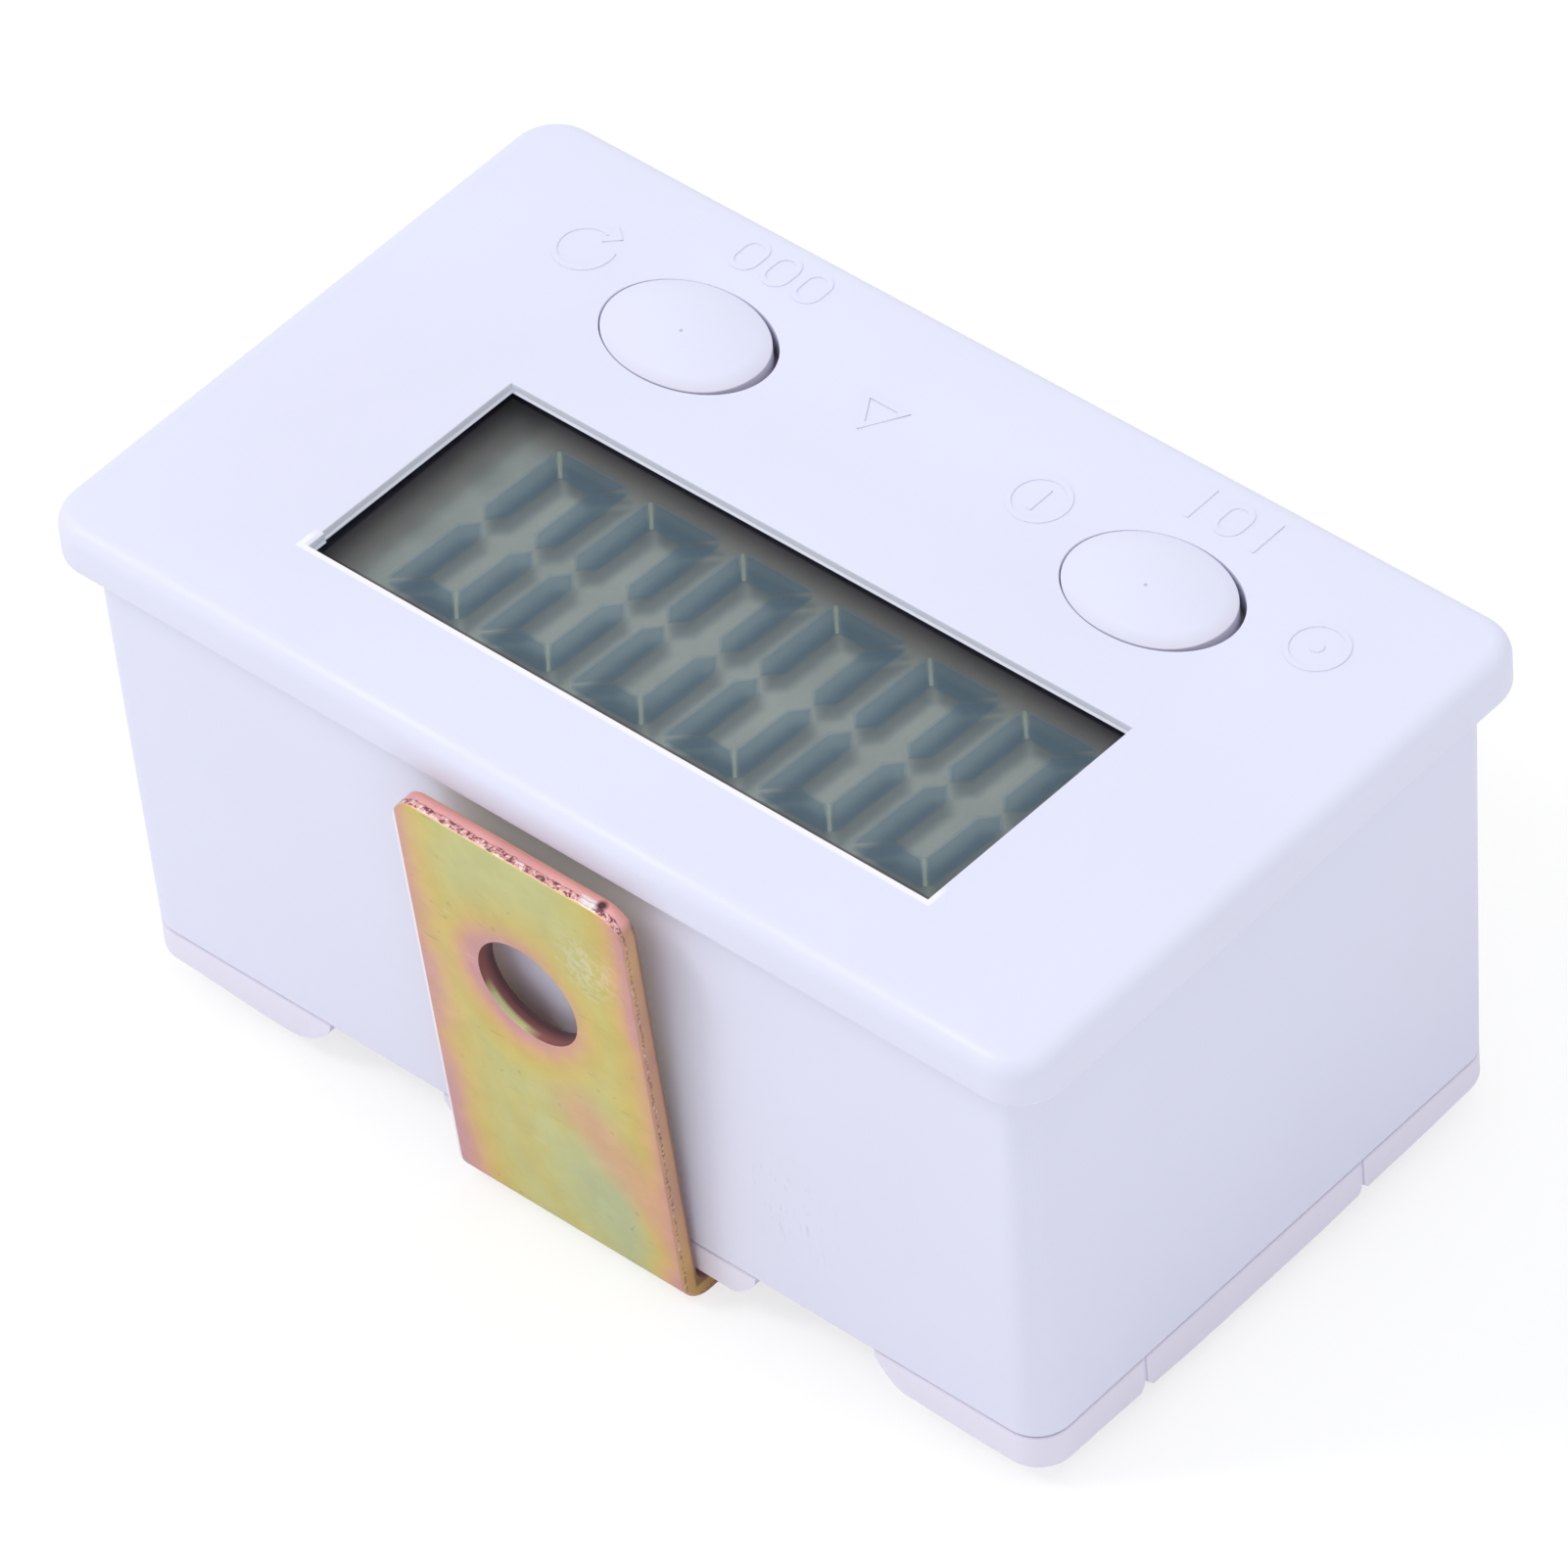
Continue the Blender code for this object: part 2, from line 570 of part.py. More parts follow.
# Battery tray, near side of the case, hung under the board
tray_half_width = BATTERY_RADIUS + CLEARANCE + TRAY_WALL
tray_y = 2 * CLEARANCE + ARM_THICKNESS + ARM_NIB + tray_half_width - cavity_half.y
battery_z = below_board - TRAY_WALL - CLEARANCE - BATTERY_RADIUS
battery_tip = tray_length / 2 - TRAY_WALL - CONTACT_THICKNESS - 2 * FIT
battery_shoulder = battery_tip - BATTERY_BUTTON_LENGTH
battery_end = battery_shoulder - BATTERY_LENGTH


def make_battery():
    half = tray_length / 2
    tray = block("battery_tray", (-half, tray_y - tray_half_width, below_board - TRAY_DEPTH),
                 (half, tray_y + tray_half_width, below_board))
    inner = tray_half_width - TRAY_WALL
    cut(tray, block("cut_tray", (TRAY_WALL - half, tray_y - inner, below_board - TRAY_DEPTH - OVERRUN),
                    (half - TRAY_WALL, tray_y + inner, below_board - TRAY_WALL)))
    finish(tray, "battery_tray", "black plastic")

    turn = Matrix(((0, 0, 1, 0), (0, 1, 0, 0), (-1, 0, 0, 0), (0, 0, 0, 1)))
    chamfer = CLEARANCE
    profile = [(0.0, battery_tip), (BATTERY_BUTTON_RADIUS, battery_tip),
               (BATTERY_BUTTON_RADIUS, battery_shoulder), (BATTERY_RADIUS - chamfer, battery_shoulder),
               (BATTERY_RADIUS, battery_shoulder - chamfer), (BATTERY_RADIUS, battery_end + chamfer),
               (BATTERY_RADIUS - chamfer, battery_end), (0.0, battery_end)]
    cell = turned("battery_cell", profile, OVAL_STEPS)
    cell.matrix_world = Matrix.Translation((0.0, tray_y, battery_z)) @ turn
    finish(cell, "battery_cell", "battery")

    low = battery_z - BATTERY_BUTTON_RADIUS - CONTACT_THICKNESS
    top = below_board - TRAY_WALL - FIT
    wall = half - TRAY_WALL - FIT
    plus = block("battery_plus_contact", (wall - CONTACT_THICKNESS, tray_y - CONTACT_WIDTH / 2, low),
                 (wall, tray_y + CONTACT_WIDTH / 2, top))
    finish(plus, "battery_plus_contact", "steel")
    # The minus contact is a strip folded at the bottom, with a springy tongue against the cell
    tongue = battery_end - FIT
    outline = [(-wall, top), (-wall, low), (tongue - CONTACT_THICKNESS, low), (tongue, low + CONTACT_THICKNESS),
               (tongue, battery_z), (tongue - CONTACT_THICKNESS, battery_z),
               (tongue - CONTACT_THICKNESS, low + CONTACT_THICKNESS),
               (CONTACT_THICKNESS - wall, low + CONTACT_THICKNESS), (CONTACT_THICKNESS - wall, top)]
    minus = side_prism("battery_minus_contact", outline, -CONTACT_WIDTH / 2, CONTACT_WIDTH / 2)
    minus.data.transform(Matrix.Translation((0.0, tray_y, 0.0)) @ Matrix.Rotation(-math.pi / 2, 4, "Z"))
    finish(minus, "battery_minus_contact", "steel")


def make_jack():
    front = cavity_half.y - CLEARANCE
    back = front - JACK_LENGTH
    half = JACK_WIDTH / 2
    body = block("input_jack_body", (jack_x - half, back, jack_axis - JACK_HEIGHT / 2),
                 (jack_x + half, front, jack_axis + JACK_HEIGHT / 2))
    sleeve_end = foot_half.y - FIT
    sleeve_start = sleeve_end - JACK_SLEEVE_LENGTH
    cut(body, rod("cut_jack_sleeve", jack_sleeve_radius + FIT, (jack_x, sleeve_start - FIT, jack_axis),
                  (jack_x, front + OVERRUN, jack_axis)))
    cut(body, rod("cut_jack_bore", JACK_BORE_RADIUS, (jack_x, front - JACK_BORE_DEPTH, jack_axis),
                  (jack_x, front, jack_axis)))
    leaf_top = jack_axis - JACK_BORE_RADIUS + FIT
    leaf_bottom = leaf_top - JACK_LEAF_THICKNESS
    leaf_start = front - JACK_BORE_DEPTH + FIT
    slot_half = JACK_LEAF_WIDTH / 2 + FIT
    leaf_end = min(leaf_start + JACK_LEAF_LENGTH, sleeve_start - 2 * FIT)
    cut(body, block("cut_jack_leaf", (jack_x - slot_half, leaf_start - FIT, leaf_bottom - FIT),
                    (jack_x + slot_half, sleeve_start, jack_axis)))
    finish(body, "input_jack_body", "black plastic")
    sleeve = rod("input_jack_sleeve", jack_sleeve_radius, (jack_x, sleeve_start, jack_axis),
                 (jack_x, sleeve_end, jack_axis))
    cut(sleeve, rod("cut_sleeve_bore", JACK_BORE_RADIUS, (jack_x, sleeve_start - OVERRUN, jack_axis),
                    (jack_x, sleeve_end + OVERRUN, jack_axis)))
    finish(sleeve, "input_jack_sleeve", "steel")
    leaf = block("input_jack_contact", (jack_x - JACK_LEAF_WIDTH / 2, leaf_start, leaf_bottom),
                 (jack_x + JACK_LEAF_WIDTH / 2, leaf_end, leaf_top))
    finish(leaf, "input_jack_contact", "brass")


insert_radius = SCREW_RADIUS + FIT + INSERT_WALL
insert_bottom = cover_top + CLEARANCE
insert_top = insert_bottom + INSERT_LENGTH
strap_screws = {"near": Vector((STRAP_OFFSET, -SCREW_PITCH / 2)),
                "far": Vector((STRAP_OFFSET, SCREW_PITCH / 2))}


def spring_arm(name, outer, side, middle):
    # Stands up from the cover along X, with a low nib on its outer face
    inner = outer - side * ARM_THICKNESS
    nib = outer + side * ARM_NIB
    root = cover_top - COVER_THICKNESS / 2
    top = cover_top + COVER_LIP_HEIGHT + ARM_HEIGHT
    nib_low = top - 2 * ARM_THICKNESS
    outline = [(inner, root), (outer, root), (outer, nib_low), (nib, nib_low + ARM_NIB),
               (nib, top - ARM_THICKNESS), (outer, top), (inner, top)]
    return side_prism(name, outline, middle - ARM_LENGTH / 2, middle + ARM_LENGTH / 2)


def make_cover():
    cover = prism("rear_cover", [rounded_outline(foot_half, BODY_CORNER_FOOT)], cover_bottom, cover_top)
    lip_half = cavity_half - Vector((CLEARANCE, CLEARANCE))
    inner_half = lip_half - Vector((COVER_LIP_WALL, COVER_LIP_WALL))
    lip = prism("lip", [rounded_outline(lip_half, CAVITY_CORNER), rounded_outline(inner_half, CAVITY_CORNER)],
                cover_top - COVER_THICKNESS / 2, cover_top + COVER_LIP_HEIGHT)
    join(cover, lip)
    for side in (-1, 1):
        for end in (-1, 1):
            middle = TAB_OFFSET + end * (TAB_LENGTH + NOTCH_LENGTH) / 2
            face = side * (foot_half.y + OVERRUN)
            depth = side * (foot_half.y - NOTCH_DEPTH)
            low = (middle - NOTCH_LENGTH / 2, min(face, depth), cover_bottom - OVERRUN)
            high = (middle + NOTCH_LENGTH / 2, max(face, depth), cover_top)
            cut(cover, block(f"cut_notch_{side}_{end}", low, high))
            middle = END_TAB_OFFSET + end * (END_TAB_LENGTH + SLOT_WIDTH) / 2
            face = side * (foot_half.x + OVERRUN)
            depth = side * (foot_half.x - SLOT_DEPTH)
            low = (min(face, depth), middle - SLOT_WIDTH / 2, cover_bottom - OVERRUN)
            high = (max(face, depth), middle + SLOT_WIDTH / 2, cover_top + OVERRUN)
            cut(cover, block(f"cut_slot_{side}_{end}", low, high))
    for side in (-1, 1):
        join(cover, spring_arm(f"arm_{side}", side * lip_half.y, side, TAB_OFFSET))
        arm = spring_arm(f"end_arm_{side}", side * lip_half.x, side, -END_TAB_OFFSET)
        arm.data.transform(Matrix.Rotation(-math.pi / 2, 4, "Z"))
        join(cover, arm)
    for end in (-1, 1):
        middle = end * CRADLE_PITCH / 2
        low = (middle - CRADLE_THICKNESS / 2, tray_y - CRADLE_WIDTH / 2, cover_top - COVER_THICKNESS / 2)
        high = (middle + CRADLE_THICKNESS / 2, tray_y + CRADLE_WIDTH / 2, battery_z - BATTERY_RADIUS / 2)
        join(cover, block(f"cradle_{end}", low, high))
    cut(cover, rod("cut_cradle", BATTERY_RADIUS + CLEARANCE, (-CRADLE_PITCH, tray_y, battery_z),
                   (CRADLE_PITCH, tray_y, battery_z), steps=OVAL_STEPS))
    boss_radius = insert_radius + FIT + BOSS_WALL
    for side, spot in strap_screws.items():
        join(cover, rod(f"insert_boss_{side}", boss_radius, (*spot, cover_top - COVER_THICKNESS / 2),
                        (*spot, insert_top)))
        cut(cover, rod(f"cut_insert_{side}", insert_radius + FIT, (*spot, cover_top),
                       (*spot, insert_top + OVERRUN)))
        cut(cover, rod(f"cut_cover_hole_{side}", SCREW_RADIUS + FIT, (*spot, cover_bottom - OVERRUN),
                       (*spot, cover_top + OVERRUN)))
        cut(cover, screw_head_cutter(f"cut_cover_head_{side}", spot))
    return finish(cover, "rear_cover", "white plastic")


def screw_head_cutter(name, spot):
    # The head's cone, wider by the fit, and run on below the strap
    slope = (SCREW_HEAD_RADIUS - SCREW_RADIUS) / SCREW_HEAD_HEIGHT
    low = -OVERRUN
    return rod(name, SCREW_HEAD_RADIUS + FIT + slope * (SCREW_HEAD_SINK - low), (*spot, low),
               (*spot, SCREW_HEAD_SINK + SCREW_HEAD_HEIGHT), tip_radius=SCREW_RADIUS + FIT)


def make_strap_screw(side, spot):
    head_top = SCREW_HEAD_SINK + SCREW_HEAD_HEIGHT
    tip = SCREW_HEAD_SINK + SCREW_LENGTH
    profile = [(0.0, tip), (SCREW_RADIUS / 2, tip), (SCREW_RADIUS, tip - SCREW_RADIUS / 2),
               (SCREW_RADIUS, head_top), (SCREW_HEAD_RADIUS, SCREW_HEAD_SINK), (0.0, SCREW_HEAD_SINK)]
    screw = turned(f"strap_screw_{side}", profile)
    screw.location = (*spot, 0.0)
    reach = SCREW_HEAD_RADIUS / 2
    for way, half in (("x", Vector((reach, DRIVER_SLOT_WIDTH / 2))),
                      ("y", Vector((DRIVER_SLOT_WIDTH / 2, reach)))):
        cut(screw, block(f"cut_driver_{side}_{way}", (*(spot - half), SCREW_HEAD_SINK - OVERRUN),
                         (*(spot + half), SCREW_HEAD_SINK + DRIVER_SLOT_DEPTH)))
    finish(screw, f"strap_screw_{side}", "steel")
    insert = rod(f"threaded_insert_{side}", insert_radius, (*spot, insert_bottom),
                 (*spot, insert_top - CLEARANCE))
    cut(insert, rod(f"cut_insert_bore_{side}", SCREW_RADIUS + FIT, (*spot, insert_bottom - OVERRUN),
                    (*spot, insert_top + OVERRUN)))
    finish(insert, f"threaded_insert_{side}", "brass")


def strap_path():
    # The middle line of the folded strap in Y and Z, as straight runs joined by arcs
    bend = STRAP_BEND + STRAP_THICKNESS / 2
    web = STRAP_THICKNESS / 2
    ear_y = foot_half.y + CLEARANCE + STRAP_THICKNESS / 2
    runs = []
    for side, height, lean in ((-1, NEAR_EAR_HEIGHT, NEAR_EAR_LEAN), (1, FAR_EAR_HEIGHT, FAR_EAR_LEAN)):
        tilt = math.atan2(lean, height - web - bend)
        centre = Vector((ear_y - bend, web + bend))
        sweep = math.pi / 2 - tilt
        arc = [centre + bend * Vector((math.sin(turn), -math.cos(turn)))
               for turn in (sweep * step / BEND_STEPS for step in range(BEND_STEPS + 1))]
        rise = Vector((math.sin(tilt), math.cos(tilt)))
        ear_length = (height - arc[-1].y) / rise.y
        runs.append([Vector((side * point.x, point.y)) for point in arc + [arc[-1] + ear_length * rise]])
    return list(reversed(runs[0])) + runs[1]


def make_strap():
    # The flat blank has its round corners and holes, is creased across, and is then folded
    path = strap_path()
    marks = [0.0]
    for before, after in zip(path, path[1:]):
        marks.append(marks[-1] + (after - before).length)
    total = marks[-1]
    near_hole = (path[0].y - EAR_HOLE_HEIGHT) * (marks[1] / (path[0].y - path[1].y))
    far_hole = total - (path[-1].y - EAR_HOLE_HEIGHT) * ((total - marks[-2]) / (path[-1].y - path[-2].y))
    blank, middle = (STRAP_WIDTH / 2, total / 2), (0.0, total / 2)
    one_end = 2 * (CORNER_STEPS + 1)
    far_corner = min(FAR_EAR_CORNER, STRAP_WIDTH / 2 - FIT)
    far_end = rounded_outline(blank, far_corner, middle)[:one_end]
    near_end = rounded_outline(blank, NEAR_EAR_CORNER, middle)[one_end:]
    outlines = [far_end + near_end]
    for along in (near_hole, far_hole):
        outlines.append(oval_outline((EAR_HOLE_RADIUS, EAR_HOLE_RADIUS), (0.0, along), ROUND_STEPS))
    strap = sheet("mounting_bracket", outlines, STRAP_THICKNESS)
    shape = bmesh.new()
    shape.from_mesh(strap.data)
    for mark in marks[1:-1]:
        everything = shape.verts[:] + shape.edges[:] + shape.faces[:]
        bmesh.ops.bisect_plane(shape, geom=everything, plane_co=(0.0, mark, 0.0), plane_no=(0.0, 1.0, 0.0))
    for vert in shape.verts:
        across, along, lift = vert.co
        later = [index for index in range(1, len(marks) - 1) if along < marks[index] - FIT / 100]
        run = later[0] if later else len(marks) - 1
        start, end = path[run - 1], path[run]
        share = (along - marks[run - 1]) / (marks[run] - marks[run - 1])
        on_crease = abs(share) * (marks[run] - marks[run - 1]) < FIT / 100 and run > 1
        direction = (end - start).normalized()
        inward = Vector((-direction.y, direction.x))
        if on_crease:
            previous = (path[run - 1] - path[run - 2]).normalized()
            other = Vector((-previous.y, previous.x))
            inward = (inward + other) / (1 + inward.dot(other))
        point = start.lerp(end, share) + inward * lift
        vert.co = (across + STRAP_OFFSET, point.x, point.y)
    shape.normal_update()
    bmesh.ops.recalc_face_normals(shape, faces=shape.faces)
    shape.to_mesh(strap.data)
    shape.free()
    for side, spot in strap_screws.items():
        cut(strap, screw_head_cutter(f"cut_strap_head_{side}", spot))
        cut(strap, rod(f"cut_strap_hole_{side}", SCREW_RADIUS + FIT, (*spot, -OVERRUN),
                       (*spot, STRAP_THICKNESS + OVERRUN)))
    return finish(strap, "mounting_bracket", "zinc")


make_case()
make_display()
make_board()
for button_name in button_x:
    make_button(button_name)
make_board_parts()
make_battery()
make_jack()
make_cover()
for screw_side, screw_spot in strap_screws.items():
    make_strap_screw(screw_side, screw_spot)
make_strap()
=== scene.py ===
import math

import bmesh
import bpy
from mathutils import Matrix, Vector


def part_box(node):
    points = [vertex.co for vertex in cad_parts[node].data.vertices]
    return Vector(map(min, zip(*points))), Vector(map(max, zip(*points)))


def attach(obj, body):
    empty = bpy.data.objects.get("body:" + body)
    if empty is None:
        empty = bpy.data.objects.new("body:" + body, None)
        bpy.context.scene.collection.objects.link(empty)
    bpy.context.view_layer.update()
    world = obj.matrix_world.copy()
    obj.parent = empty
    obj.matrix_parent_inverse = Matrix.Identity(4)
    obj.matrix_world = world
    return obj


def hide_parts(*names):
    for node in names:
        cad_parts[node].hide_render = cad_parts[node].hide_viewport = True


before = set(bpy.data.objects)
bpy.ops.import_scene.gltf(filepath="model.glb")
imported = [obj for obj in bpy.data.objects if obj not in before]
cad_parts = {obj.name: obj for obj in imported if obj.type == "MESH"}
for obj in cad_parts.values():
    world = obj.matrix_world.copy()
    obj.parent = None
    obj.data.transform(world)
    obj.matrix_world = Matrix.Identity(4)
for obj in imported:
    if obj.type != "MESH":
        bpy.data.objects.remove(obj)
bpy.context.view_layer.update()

mm = 0.001
caseLow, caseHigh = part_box("case_shell")
coverLow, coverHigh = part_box("rear_cover")
panelLow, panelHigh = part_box("lcd_panel")
strapLow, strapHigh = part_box("mounting_bracket")
boardLow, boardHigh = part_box("main_board")
cellLow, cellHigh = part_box("battery_cell")
faceTop, caseFoot = caseHigh.z, caseLow.z


def inMetres(**sizes):
    # Sizes given in millimetres, as lengths in metres and vectors of them
    return {name: Vector([part * mm for part in size]) if isinstance(size, tuple) else size * mm
            for name, size in sizes.items()}


def middleOf(node):
    low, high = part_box(node)
    return (low + high) / 2


# Small helpers for meshes

def linked(name, data):
    made = bpy.data.objects.new(name, data)
    bpy.context.scene.collection.objects.link(made)
    return made


def smooth(piece, angle):
    piece.data.shade_smooth()
    piece.data.set_sharp_from_angle(angle=math.radians(angle))


def fromBmesh(name, shape, material=None):
    mesh = bpy.data.meshes.new(name)
    bmesh.ops.recalc_face_normals(shape, faces=shape.faces)
    shape.to_mesh(mesh)
    shape.free()
    if material:
        mesh.materials.append(material)
    return linked(name, mesh)


def shownMesh(piece):
    # What the piece's modifiers show
    bpy.context.view_layer.update()
    return bpy.data.meshes.new_from_object(piece.evaluated_get(bpy.context.evaluated_depsgraph_get()))


def applied(piece):
    mesh = shownMesh(piece)
    piece.modifiers.clear()
    piece.data = mesh
    return piece


def grown(half, by):
    return Vector((half[0] + by, half[1] + by))


def roundedRect(half, radius, steps=10, middle=(0, 0)):
    # The radius may be four: from the +X far corner, counter-clockwise
    radii = radius if isinstance(radius, tuple) else (radius,) * 4
    points = []
    for signX, signY, quarter in ((1, 1, 0), (-1, 1, 1), (-1, -1, 2), (1, -1, 3)):
        corner = radii[quarter]
        for step in range(steps + 1):
            angle = (quarter + step / steps) * math.pi / 2
            points.append((middle[0] + signX * (half[0] - corner) + corner * math.cos(angle),
                           middle[1] + signY * (half[1] - corner) + corner * math.sin(angle)))
    return points


def divided(outline, step):
    # Adds points along the long straight runs
    points = []
    for (x1, y1), (x2, y2) in zip(outline, outline[1:] + outline[:1]):
        count = max(1, round(math.hypot(x2 - x1, y2 - y1) / step))
        points += [(x1 + (x2 - x1) * index / count, y1 + (y2 - y1) * index / count) for index in range(count)]
    return points


def ellipse(half, middle, steps=96):
    turns = [2 * math.pi * step / steps for step in range(steps)]
    return [(middle[0] + half[0] * math.cos(turn), middle[1] + half[1] * math.sin(turn)) for turn in turns]


def rounding(radius, steps, degrees=90):
    # Inset and rise along a rounded bottom edge, or drop and inset along a top edge
    turns = [math.radians(degrees) * step / steps for step in range(steps + 1)]
    return [(radius * (1 - math.sin(turn)), radius * (1 - math.cos(turn))) for turn in turns]


def stack(name, rings, material=None):
    # Joins outlines of equal counts, bottom to top, and closes both ends
    shape = bmesh.new()
    loops = [[shape.verts.new((x, y, z)) for x, y in outline] for outline, z in rings]
    for low, high in zip(loops, loops[1:]):
        for index in range(len(low)):
            after = (index + 1) % len(low)
            shape.faces.new((low[index], low[after], high[after], high[index]))
    shape.faces.new(list(reversed(loops[0])))
    shape.faces.new(loops[-1])
    return fromBmesh(name, shape, material)


def blockPiece(name, low, high, edge=0.0, material=None):
    shape = bmesh.new()
    bmesh.ops.create_cube(shape, size=1)
    low, high = Vector(low), Vector(high)
    shape.transform(Matrix.Translation((low + high) / 2) @ Matrix.Diagonal((*(high - low), 1)))
    if edge:
        bmesh.ops.bevel(shape, geom=shape.edges[:], offset=edge, segments=2, profile=0.5, affect="EDGES")
    return fromBmesh(name, shape, material)


def rod(radius, start, end, tip=None, steps=48):
    start, end = Vector(start), Vector(end)
    along = end - start
    shape = bmesh.new()
    turn = along.to_track_quat("Z", "Y").to_matrix().to_4x4()
    bmesh.ops.create_cone(shape, cap_ends=True, segments=steps, radius1=radius,
                          radius2=radius if tip is None else tip, depth=along.length,
                          matrix=Matrix.Translation((start + end) / 2) @ turn)
    return fromBmesh("rod", shape)


def post(radius, spot, low, high, **settings):
    return rod(radius, (spot.x, spot.y, low), (spot.x, spot.y, high), **settings)


def carve(piece, tools, operation="DIFFERENCE"):
    for tool in tools:
        step = piece.modifiers.new("carve", "BOOLEAN")
        step.operation = operation
        step.solver = "EXACT"
        step.object = tool
    applied(piece)
    for tool in tools:
        bpy.data.objects.remove(tool, do_unlink=True)


def fuse(piece, tools):
    carve(piece, tools, "UNION")


def filledSheet(name, outlines, thickness, material=None):
    curve = bpy.data.curves.new(name, "CURVE")
    curve.dimensions = "2D"
    curve.fill_mode = "BOTH"
    curve.extrude = thickness / 2
    for outline in outlines:
        spline = curve.splines.new("POLY")
        spline.points.add(len(outline) - 1)
        for point, (x, y) in zip(spline.points, outline):
            point.co = (x, y, 0, 1)
        spline.use_cyclic_u = True
    guide = linked(name, curve)
    mesh = shownMesh(guide)
    bpy.data.objects.remove(guide, do_unlink=True)
    shape = bmesh.new()
    shape.from_mesh(mesh)
    bmesh.ops.remove_doubles(shape, verts=shape.verts, dist=0.002 * mm)
    bpy.data.meshes.remove(mesh)
    return fromBmesh(name, shape, material)


def dress(piece, body, slot, *replaced):
    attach(piece, body)
    if replaced:
        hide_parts(*replaced)


# Small helpers for materials

class Paint:
    # The nodes of a material or world, with short calls for those that the finishes use
    def __init__(self, owner, shader="Principled BSDF"):
        owner.use_nodes = True
        self.owner, self.tree = owner, owner.node_tree
        self.shader = self.tree.nodes[shader]

    def put(self, socket, value):
        if isinstance(value, bpy.types.NodeSocket):
            self.tree.links.new(value, socket)
        else:
            socket.default_value = (*value, 1) if socket.type == "RGBA" else value

    def set(self, name, value):
        self.put(self.shader.inputs[name], value)

    def add(self, kind, inputs=None, **settings):
        node = self.tree.nodes.new("ShaderNode" + kind)
        for name, value in settings.items():
            setattr(node, name, value)
        for name, value in (inputs or {}).items():
            self.put(node.inputs[name], value)
        return node

    def noise(self, scale, detail=2, roughness=0.5, distortion=0.0, vector=None):
        return self.add("TexNoise", {"Vector": vector or self.place, "Scale": scale, "Detail": detail,
                                     "Roughness": roughness, "Distortion": distortion}).outputs["Fac"]

    def mapped(self, scale, turnY=0):
        return self.add("Mapping", {"Vector": self.place, "Scale": scale, "Rotation": (0, turnY, 0)}).outputs["Vector"]

    def ramp(self, value, *stops, interpolation="LINEAR"):
        node = self.add("ValToRGB", {"Fac": value})
        node.color_ramp.interpolation = interpolation
        elements = node.color_ramp.elements
        while len(elements) < len(stops):
            elements.new(0.5)
        for element, (at, colour) in zip(elements, stops):
            element.position = at
            element.color = (*colour, 1)
        return node.outputs["Color"]

    def maths(self, operation, *values, clamp=False):
        return self.add("Math", dict(enumerate(values)), operation=operation, use_clamp=clamp).outputs[0]

    def times(self, first, *others):
        for other in others:
            first = self.maths("MULTIPLY", first, other)
        return first

    def plus(self, first, *others):
        for other in others:
            first = self.maths("ADD", first, other)
        return first

    def minus(self, first, second):
        return self.maths("SUBTRACT", first, second)

    def size(self, value):
        return self.maths("ABSOLUTE", value)

    def mix(self, factor, first, second, blend="MIX"):
        return self.add("Mix", {0: factor, 6: first, 7: second}, data_type="RGBA", blend_type=blend).outputs[2]

    def tint(self, colour, by):
        return self.mix(1.0, colour, by, "MULTIPLY")

    def span(self, value, fromLow, fromHigh, toLow=0, toHigh=1):
        return self.add("MapRange", {"Value": value, "From Min": fromLow, "From Max": fromHigh,
                                     "To Min": toLow, "To Max": toHigh}).outputs["Result"]

    def split(self, vector=None):
        return self.add("SeparateXYZ", {0: vector or self.place}).outputs

    def distance(self, vector, middle):
        return self.add("VectorMath", {0: vector, 1: middle}, operation="DISTANCE").outputs["Value"]

    def line(self, value, middle, half, soft, strength=1.0):
        # 1 within half of the middle, fading to 0 over the soft width
        return self.span(self.minus(self.size(self.minus(value, middle)), half), 0, soft, strength, 0)

    def spot(self, middle, radius, soft, strength=1.0, vector=None):
        return self.span(self.distance(vector or self.place, middle), radius, radius + soft, strength, 0)

    def finish(self, colour, roughness=None, relief=None):
        # The relief is a height and the bump's strength and distance
        self.set("Base Color", colour)
        if roughness:
            self.set("Roughness", roughness)
        if relief:
            bump = self.add("Bump", dict(zip(("Height", "Strength", "Distance"), relief)))
            self.set("Normal", bump.outputs["Normal"])
        return self.owner


def newPaint(name, colour, roughness, metallic=0.0):
    p = Paint(bpy.data.materials.new(name))
    for socket, value in (("Base Color", colour), ("Roughness", roughness), ("Metallic", metallic)):
        p.set(socket, value)
    p.place = p.add("TexCoord").outputs["Object"]
    return p


# Finishes

whitePlastic = {
    "colour": (0.79, 0.806, 0.985),
    "shade": (0.765, 0.778, 0.950),      # faint flow marks of the moulding
    "speck": (0.18, 0.16, 0.17),
    "roughness": 0.42,
    "grainSize": 9000,                   # fine spark-eroded grain, per metre
    "speckSize": 420,
}


def makeWhitePlastic(name, speckled=True, marks=None):
    look = whitePlastic
    gloss = look["roughness"]
    p = newPaint(name, look["colour"], gloss)
    colour = p.mix(p.span(p.noise(45, 3), 0.35, 0.75), look["colour"], look["shade"])
    if speckled:
        cells = p.add("TexVoronoi", {"Scale": look["speckSize"], "Vector": p.place}, feature="F1").outputs["Distance"]
        dots = p.maths("MULTIPLY", p.span(cells, 0.015, 0.045, 1, 0), p.span(p.noise(210, 0), 0.70, 0.72), clamp=True)
        colour = p.mix(dots, colour, look["speck"])
    if marks:
        colour = marks(p, colour)
    wave = p.noise(160)
    height = p.plus(p.times(p.noise(look["grainSize"], 2, 0.6), 0.35), wave)
    p.set("IOR", 1.46)
    return p.finish(colour, p.span(wave, 0.3, 0.7, gloss - 0.05, gloss + 0.07), (height, 0.12, 0.00004))


